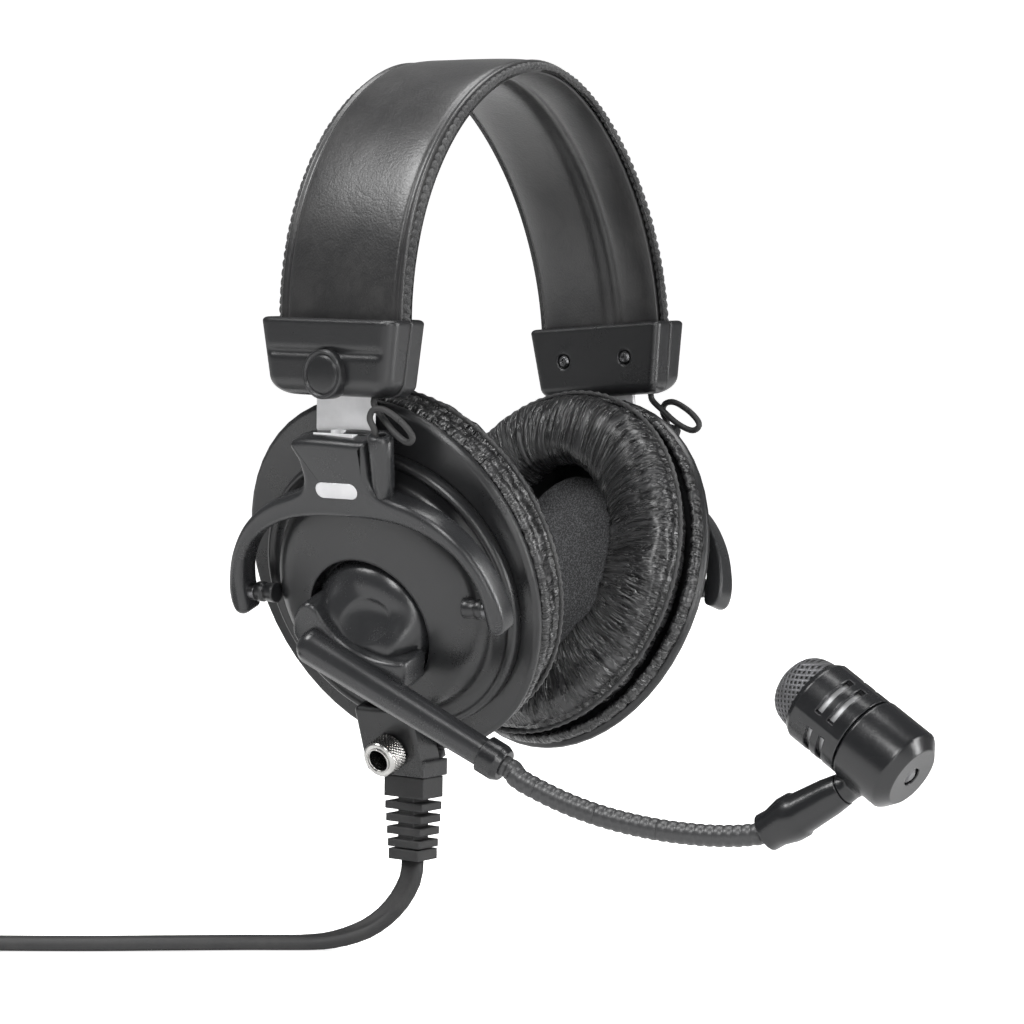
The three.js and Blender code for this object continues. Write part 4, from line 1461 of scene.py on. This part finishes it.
@dataclass(frozen=True)
class EndBlock:
    """Block at the end of the headband: a rounded shell, the inner cover and a round boss."""

    side: Side
    outer: float = 66.5
    split: float = 58.2
    inner: float = 51.6
    height: float = 20.0
    half_top: float = 22.3
    half_bottom: float = 19.4
    top_round: float = 1.2
    groove: tuple[float, float, float] = (-8.7, 1.0, 0.75)
    boss: tuple[float, float] = (0.6, -14.2)
    screw: tuple[float, float, float] = (10.4, -9.5, 2.2)

    def build(self) -> None:
        """Makes the shell, the cover and the boss."""
        name = self.side.value
        shell = lay(f"block_front_{name}", self.body(True), PLASTIC, side_frame(self.side))
        cover = lay(f"block_back_{name}", self.body(False), PLASTIC, side_frame(self.side))
        carve(cover, [self.screw_seat(-1), self.screw_seat(1)])
        cover.data.shade_smooth()
        bm = bmesh.new()
        boss = [(0, 63.5), (6.4, 63.5), (6.4, 67.5), (6.1, 67.9), (5.5, 67.9), (5.25, 67.3), (4.95, 67.3),
                (4.75, 67.75), (4.2, 67.9), (0, 68.0)]
        spin_round(bm, boss, Matrix.Translation((0, *self.boss)) @ ALONG_X, 48)
        button = lay(f"block_button_{name}", bm, PLASTIC, side_frame(self.side))
        for piece, node in ((shell, "block_shell"), (cover, "block_cover"), (button, "block_boss")):
            piece.data.set_sharp_from_angle(angle=SHELL_CREASE)
            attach(piece, "headband")
            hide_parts(f"{node}_{name}")

    @staticmethod
    def rim(u: float, low: float, high: float, half: float, rounds: tuple[float, float]) -> Vector:
        """A place (x, y) on a rounded rectangle, u from 0 to 1 round it.

        Args:
            u: Share round it.
            low: Smallest x.
            high: Largest x.
            half: Half its width.
            rounds: Corner radii at low and at high.

        Returns:
            The place.
        """
        corners = ((high, half, rounds[1]), (low, half, rounds[0]),
                   (low, -half, rounds[0]), (high, -half, rounds[1]))

        def corner(index: int, turn: float) -> Vector:
            """A place on one rounded corner."""
            x, y, radius = corners[index % 4]
            middle = math.radians(90 * (index % 4) + 45)
            angle = math.radians(90 * (index % 4 + turn))
            centre = Vector((x - math.copysign(radius, math.cos(middle)),
                             y - math.copysign(radius, math.sin(middle))))
            return centre + radius * Vector((math.cos(angle), math.sin(angle)))

        index, rest = divmod(u % 1.0 * 4, 1.0)
        if rest < 0.4:
            return corner(int(index), rest / 0.4)
        return corner(int(index), 1.0).lerp(corner(int(index) + 1, 0.0), (rest - 0.4) / 0.6)

    def level(self, v: float, bottom: float) -> tuple[float, float, float]:
        """(inset, height, share of the section) from the middle of the top to the middle of the base.

        Args:
            v: Share from top to base.
            bottom: Radius of the lower edge.

        Returns:
            The three numbers.
        """
        if v < 0.1:
            return self.top_round, -0.8 * (1 - smoothstep(v / 0.1, 0.8, 1.0)), v / 0.1
        if v < 0.2:
            angle = math.radians(90) * (v - 0.1) / 0.1
            return self.top_round * (1 - math.sin(angle)), -self.top_round * (1 - math.cos(angle)), 1.0
        if v < 0.8:
            return 0.0, -self.top_round - (self.height - self.top_round - bottom) * (v - 0.2) / 0.6, 1.0
        if v < 0.92:
            angle = math.radians(90) * (v - 0.8) / 0.12
            return bottom * (1 - math.cos(angle)), bottom - self.height - bottom * math.sin(angle), 1.0
        return bottom, -self.height, 1 - (v - 0.92) / 0.08

    def body(self, front: bool) -> bmesh.types.BMesh:
        """The shell in front of the split or the cover behind it.

        Args:
            front: Whether it is the shell.

        Returns:
            The closed body.
        """
        bottom = 4.6 if front else 3.2
        rounds = (0.4, 3.6) if front else (2.0, 0.4)

        def place(u: float, v: float) -> Vector:
            """A place on the body's skin."""
            inset, z, share = self.level(v, bottom)
            half = self.half_top + (self.half_bottom - self.half_top) * -z / self.height - inset
            low, high = self.inner + inset, self.split - 0.05
            if front:
                low, high = self.split + 0.05, self.outer - inset
            spot = self.rim(u, low, high + 0.05 * z * front, half, rounds)
            middle = Vector(((low + high) / 2, 0))
            spot = middle + (spot - middle) * share
            if front and spot.x > high - 1.6:
                dent = math.exp(-((z - self.groove[0]) / self.groove[1]) ** 2)
                spot.x -= self.groove[2] * dent * smoothstep(half - abs(spot.y), 1.6, 4.0)
            return Vector((spot.x, spot.y, z))

        return seal(grid(240, 120, place), WELD)

    def screw_seat(self, sign: int) -> bpy.types.Object:
        """The pocket round one cover screw.

        Args:
            sign: -1 or 1 for the two screws.

        Returns:
            The cutting tool.
        """
        y, z, radius = self.screw
        bm = bmesh.new()
        pocket = [(0, 50), (radius, 50), (radius, 52.7), (0, 52.7)]
        spin_round(bm, pocket, Matrix.Translation((0, sign * y, z)) @ ALONG_X, 24)
        return lay("screw_seat", bm, PLASTIC, side_frame(self.side))


# ------------------------------------------------------------- cup shells


@dataclass(frozen=True)
class CupShell:
    """Round stepped housing with a smooth crown, pivot posts and, on one side, the hub's recess."""

    side: Side
    centre_y: float = 1.0
    centre_z: float = -2.5
    recess: tuple[float, float, float, float] = (-0.5, -8.6, 18.8, 7.3)
    cable_gap: tuple[float, float, float] = (-13.7, 5.3, -33.7)
    profile: tuple[tuple[float, float], ...] = (
        (0, 12.6), (9, 12.5), (18, 12.2), (24, 11.7), (27.5, 11.0), (29.6, 10.0), (31.2, 8.6),
        (32.2, 6.8), (32.7, 5.0), (33.2, 3.9), (34.2, 3.4), (36.2, 3.3), (36.9, 3.35), (37.3, 3.8),
        (37.9, 4.0), (38.6, 3.7), (39.1, 2.9), (39.3, 1.8), (39.2, 0.3), (0, 0.3),
    )

    def build(self) -> None:
        """Makes the housing."""
        front = 1 if self.side is Side.NEAR else -1
        name = self.side.value
        bm = bmesh.new()
        centre = Matrix.Translation((0, front * self.centre_y, self.centre_z))
        spin_round(bm, self.profile, centre @ ALONG_X, 96)
        obj = lay(f"cup_shell_{name}", bm, PLASTIC, cup_frame(self.side))
        if self.side is Side.NEAR:
            carve(obj, [self.recess_tool(), self.gap_tool()])
        obj.data.shade_smooth()
        obj.data.set_sharp_from_angle(angle=SHELL_CREASE)
        posts = bmesh.new()
        for end in (-1, 1):
            post = [(0, 30.8), (2.7, 30.8), (2.5, 33.6), (2.1, 34.0), (2.1, 34.5), (2.7, 34.9),
                    (2.7, 36.6), (2.4, 37.0), (0, 37.0)]
            tip = Matrix.Translation((10.2, 0, -2)) @ Matrix.Rotation(math.radians(-90 * end), 4, "X")
            spin_round(posts, post, tip, 32)
        post_obj = lay(f"pivot_posts_{name}", posts, PLASTIC, cup_frame(self.side))
        post_obj.data.set_sharp_from_angle(angle=SHELL_CREASE)
        for piece in (obj, post_obj):
            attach(piece, f"cup_{name}")
            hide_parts(f"cup_housing_{name}")

    def recess_tool(self) -> bpy.types.Object:
        """The round pocket that the boom's hub turns in.

        Returns:
            The cutting tool.
        """
        y, z, radius, low = self.recess
        bm = bmesh.new()
        pocket = [(0, low), (radius - 0.8, low), (radius, low + 0.8), (radius, 20), (0, 20)]
        spin_round(bm, pocket, Matrix.Translation((0, y, z)) @ ALONG_X, 72)
        return lay("recess_tool", bm, PLASTIC, cup_frame(self.side))

    def gap_tool(self) -> bpy.types.Object:
        """The room for the cable block at the lower edge.

        Returns:
            The cutting tool.
        """
        low, high, top = self.cable_gap
        bm = bmesh.new()
        bmesh.ops.create_cube(bm, size=1.0)
        bmesh.ops.transform(bm, verts=bm.verts, matrix=Matrix.Translation((9, (low + high) / 2, top - 15))
                            @ Matrix.Diagonal((22, high - low, 30, 1)))
        return lay("gap_tool", bm, PLASTIC, cup_frame(self.side))


@dataclass(frozen=True)
class Yoke:
    """C-shaped yoke with filleted arms, a stem and the guide that takes the link wire."""

    side: Side
    low: float = 8.2
    high: float = 14.6
    fillet: float = 1.75
    half: tuple[tuple[float, float], ...] = (
        (11.2, 43.9), (10.9, 38.0), (10.6, 33.5), (12.2, 30.2), (16.0, 28.4), (22.5, 26.2), (29.5, 22.4),
        (35.6, 16.9), (40.6, 9.4), (43.3, 2.0), (44.0, -3.2), (43.2, -6.6), (41.2, -7.6), (39.2, -6.6),
        (38.8, -3.0), (38.4, 2.0), (36.6, 8.0), (32.4, 14.0), (26.4, 18.2), (18.6, 21.2), (9.6, 22.6),
    )

    def build(self) -> None:
        """Makes the yoke, its wire guide and its stem's backing."""
        name = self.side.value
        front = 1 if self.side is Side.NEAR else -1
        outline = [*self.half, (0.0, 22.9), *((-y, z) for y, z in reversed(self.half))]
        body = slab(outline, self.low, self.high, self.fillet, 0.9)
        self.finish(f"yoke_frame_{name}", body, name)
        guide = bmesh.new()
        tube = [(1.6, 46.4), (2.9, 46.4), (3.35, 45.8), (3.2, 40), (3.0, 33), (2.6, 29.4),
                (1.4, 27.4), (0, 26.8)]
        lean = Matrix.Rotation(math.radians(-9.3 * front), 4, "X")
        seat = Matrix.Translation((self.high - 2.9, front * 8.1, 0)) @ lean
        spin_round(guide, [(0, 42.6), (1.6, 42.6), *tube], seat, 28)
        self.finish(f"yoke_guide_{name}", guide, name)
        back = slab(((-10.8, 43.6), (-10.8, 32.2), (10.8, 32.2), (10.8, 43.6)), 6.1, self.low + 0.2, 0.4)
        self.finish(f"yoke_back_{name}", back, name)

    def finish(self, title: str, bm: bmesh.types.BMesh, name: str) -> None:
        """Lays a piece of the yoke and puts it on the yoke's body.

        Args:
            title: The piece's name.
            bm: Its mesh.
            name: The side's name.
        """
        obj = lay(title, bm, SATIN, cup_frame(self.side))
        obj.data.set_sharp_from_angle(angle=YOKE_CREASE)
        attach(obj, f"yoke_arm_{name}")
        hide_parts(f"yoke_{name}")


# ------------------------------------------------------------------ boom


@dataclass(frozen=True)
class Boom:
    """Swinging arm: a hub cap with a finger dimple, a curved paddle and a ridged tube."""

    hub_centre: tuple[float, float] = (-0.5, -8.6)
    hub_radius: float = 17.8
    hub_low: float = 7.5
    hub_top: float = 14.6
    dimple: tuple[float, float, float, float] = (2.6, -4.9, 6.9, 5.5)
    ridge: tuple[float, float, float] = (15.6, 22.1, 36.0)
    tail: tuple[float, float, float] = (23.6, -14.6, -8.4)
    collar: tuple[float, float, float] = (23.6, 37.8, -36.2)
    paddle_low: float = 12.9
    paddle_top: float = 22.6
    paddle: tuple[tuple[float, float], ...] = (
        (-16.9, -3.6), (-13.4, 0.9), (-10.6, 1.4), (-8.4, -0.6), (-6.6, -4.2), (-3.4, -8.0), (1.4, -11.2),
        (7.6, -13.2), (13.4, -13.7), (16.2, -13.6), (16.6, -15.4), (15.6, -18.4), (14.2, -21.4),
        (6.0, -22.0), (-4.0, -16.4), (-14.0, -12.4), (-17.6, -8.0),
    )

    def build(self) -> None:
        """Makes the hub, the paddle and the tube."""
        self.finish("boom_hub_cap", self.hub(), "boom_hub")
        paddle = slab(self.paddle, self.paddle_low, self.paddle_top, 1.1, 0.8)
        self.finish("boom_paddle", paddle, "boom_arm")
        self.finish("boom_tube", self.tube(), "boom_arm")

    @staticmethod
    def finish(name: str, bm: bmesh.types.BMesh, node: str) -> None:
        """Lays a piece of the boom and puts it on the boom's body.

        Args:
            name: The piece's name.
            bm: Its mesh.
            node: The CAD node it stands for.
        """
        obj = lay(name, bm, SATIN, cup_frame(Side.NEAR))
        obj.data.set_sharp_from_angle(angle=BOOM_CREASE)
        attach(obj, "boom")
        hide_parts(node)

    def hub(self) -> bmesh.types.BMesh:
        """A domed disc with an oval dimple pressed into it.

        Returns:
            The disc.
        """
        def place(u: float, v: float) -> Vector:
            """A place on the disc, its rim or its underside."""
            radius = self.hub_radius * min(v * 1.12, 1.0)
            turn = math.tau * u
            y = self.hub_centre[0] + radius * math.cos(turn)
            z = self.hub_centre[1] + radius * math.sin(turn)
            share = radius / self.hub_radius
            height = self.hub_low + (self.hub_top - self.hub_low) * (1 - share ** 5) ** 0.55
            near = self.ridge[2] - math.hypot(y - self.ridge[0], z - self.ridge[1])
            height += (5.0 * smoothstep(1 - max(near, 0.0) / 12.0) * smoothstep(1 - share, 0.0, 0.4)
                       * smoothstep(y, -15.0, -7.0))
            reach = math.hypot((y - self.dimple[0]) / self.dimple[2], (z - self.dimple[1]) / self.dimple[3])
            height -= 1.3 * max(1 - reach ** 2, 0.0) ** 0.7
            return Vector((height if v < 0.9 else self.hub_low - (v - 0.9) * 4, y, z))

        return seal(grid(160, 120, place), WELD)

    def tube(self) -> bmesh.types.BMesh:
        """The tapering tube, flattened on top between two soft ridges.

        Returns:
            The tube.
        """
        start, end = Vector(self.tail), Vector(self.collar)
        line = Route([start, start.lerp(end, 0.5), end], 0.5, up=Vector((1, 0, 0)))

        def section(distance: float, angle: float) -> tuple[float, float]:
            """A flattened oval that rounds off at the tail."""
            share = distance / line.length
            round_end = math.sqrt(max(1 - (1 - min(distance / 4.0, 1.0)) ** 2, 0.0))
            width = (4.9 - 1.0 * share) * round_end
            up = math.sin(angle)
            lobes = 1 + 0.035 * math.cos(4 * (angle - math.pi / 2)) * (1 - share * 0.6)
            flat = 0.92 if up > 0.75 else 1.0
            return width * lobes * math.cos(angle), width * lobes * up * flat

        return line.tube(section, 130, 40)


# ------------------------------------------------------------- microphone


@dataclass(frozen=True)
class Microphone:
    """Details of the microphone head: the woven dome."""

    back: tuple[float, float, float] = (-25, -152.3, -108)
    front: tuple[float, float, float] = (-25, -120.4, -88.9)

    def build(self) -> None:
        """Makes the grille."""
        turn = aimed(self.back, self.front)
        dome = [(0.0, 31.9), (9.5, 31.9), (9.6, 33.4), (9.3, 36.0), (8.3, 38.6), (6.2, 40.6), (3.4, 41.7),
                (0.0, 42.1)]
        bm = bmesh.new()
        spin_round(bm, dome, turn, 48)
        bmesh.ops.subdivide_edges(bm, edges=bm.edges, cuts=1, use_grid_fill=True, smooth=0.6)
        obj = lay("mic_mesh", bm, GRILLE, headset_frame())
        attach(obj, "mic_head")
        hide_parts("mic_grille")


# ---------------------------------------------------------------- jack


@dataclass(frozen=True)
class JackNut:
    """Knurled ring nut on the cable block."""

    y: float = -3.2
    z: float = -45.8
    low: float = 10.3
    high: float = 16.4
    radius: float = 5.0
    bore: float = 2.95

    def build(self) -> None:
        """Makes the nut with its diamond knurl."""
        outline = ((self.bore, self.low), (self.radius - 0.3, self.low), (self.radius, self.low + 0.4),
                   (self.radius, self.high - 0.7), (self.radius - 0.5, self.high), (self.bore, self.high))
        lengths = [math.dist(a, b) for a, b in zip(outline, outline[1:] + outline[:1])]
        total = sum(lengths)

        def profile(v: float) -> tuple[float, float]:
            """A place round the nut's section, as (radius, height)."""
            left = v * total
            for a, b, span in zip(outline, outline[1:] + outline[:1], lengths):
                if left <= span:
                    t = left / span
                    return a[0] + (b[0] - a[0]) * t, a[1] + (b[1] - a[1]) * t
                left -= span
            return outline[0]

        def place(u: float, v: float) -> Vector:
            """A place on the nut, cut by the knurl."""
            radius, height = profile(v)
            turn = math.tau * u
            if radius > self.radius - 0.02 and self.low + 0.5 < height < self.high - 0.8:
                knurl = abs(math.sin(turn * 17 + height * 2.6)) * abs(math.sin(turn * 17 - height * 2.6))
                radius -= 0.5 * (1 - knurl) - 0.2
            return Vector((height, self.y + radius * math.cos(turn), self.z + radius * math.sin(turn)))

        obj = lay("ring_nut", seal(grid(204, 60, place), WELD), NICKEL, cup_frame(Side.NEAR))
        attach(obj, "cup_near")
        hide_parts("jack_nut")


# ------------------------------------------------------------ CAD pieces

CAD_FINISHES: dict[str, Finish] = {
    "band_spring": SPRING, "block_screw": BLACK_METAL, "slider": STEEL, "yoke_inlay": SILVER,
    "pivot_screw": BLACK_METAL, "cup_baffle": PLASTIC, "driver_cover": FOAM, "driver": BLACK_METAL,
    "boom_collar": MIC_COAT, "mic_sleeve": MIC_COAT, "mic_rear_body": MIC_COAT,
    "mic_end_screw": BLACK_METAL, "mic_slot_ring": MIC_COAT, "mic_inner_sleeve": SILVER,
    "mic_capsule": BLACK_METAL, "cable_block": PLASTIC, "jack_barrel": NICKEL, "strain_relief": RUBBER,
    "coil_tie": RUBBER, "plug_boot": RUBBER, "plug_shell": NICKEL, "plug_insert": PLASTIC,
}


@dataclass(frozen=True)
class CadDressing:
    """Redraws the CAD's hard pieces with merged faces and smooth rounds, in their finishes."""

    plain: tuple[str, ...] = ("coil_tie", "band_spring_front", "band_spring_rear", "plug_boot",
                              "plug_shell", "plug_insert", "strain_relief")
    crease: float = math.radians(32)

    @staticmethod
    def finish_of(name: str) -> Finish | None:
        """The finish of a node, by its name's longest known beginning.

        Args:
            name: The node's name.

        Returns:
            Its finish, or none.
        """
        known = [prefix for prefix in CAD_FINISHES if name.startswith(prefix)]
        return CAD_FINISHES[max(known, key=len)] if known else None

    def build(self) -> None:
        """Dresses every CAD node that still shows."""
        bodies = frame["record"]["behaviour"]["bodies"]
        body_of = {node: body for body, members in bodies.items() for node in members}
        for name, node in frame["nodes"].items():
            finish = self.finish_of(name)
            if finish is None or node.hide_render:
                continue
            if name in self.plain:
                for slot in node.material_slots:
                    slot.material = WARDROBE.of(finish)
                continue
            self.redraw(name, node, finish, body_of[name])

    def redraw(self, name: str, node: bpy.types.Object, finish: Finish, body: str) -> None:
        """Copies a node's mesh, merges it and shades its rounds smooth.

        Args:
            name: The node's name.
            node: The CAD node.
            finish: Its finish.
            body: The body it rides on.
        """
        bm = bmesh.new()
        bm.from_mesh(node.data)
        bmesh.ops.remove_doubles(bm, verts=bm.verts, dist=2e-6)
        bmesh.ops.dissolve_limit(bm, angle_limit=math.radians(0.6), verts=bm.verts, edges=bm.edges)
        obj = lay(f"{name}_skin", bm, finish)
        obj.data.set_sharp_from_angle(angle=self.crease)
        even = obj.modifiers.new("even", "WEIGHTED_NORMAL")
        even.keep_sharp = True
        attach(obj, body)
        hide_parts(name)


def main() -> None:
    """Builds the studio, the cord and then every sub-assembly."""
    Studio().build()
    Cord().build()
    Headband().build()
    for side in Side:
        EarPad(side).build()
        EndBlock(side).build()
        CupShell(side).build()
        Yoke(side).build()
        LinkWire(side).build()
    Gooseneck().build()
    Boom().build()
    Microphone().build()
    JackNut().build()
    CadDressing().build()


if __name__ == "__main__":
    main()
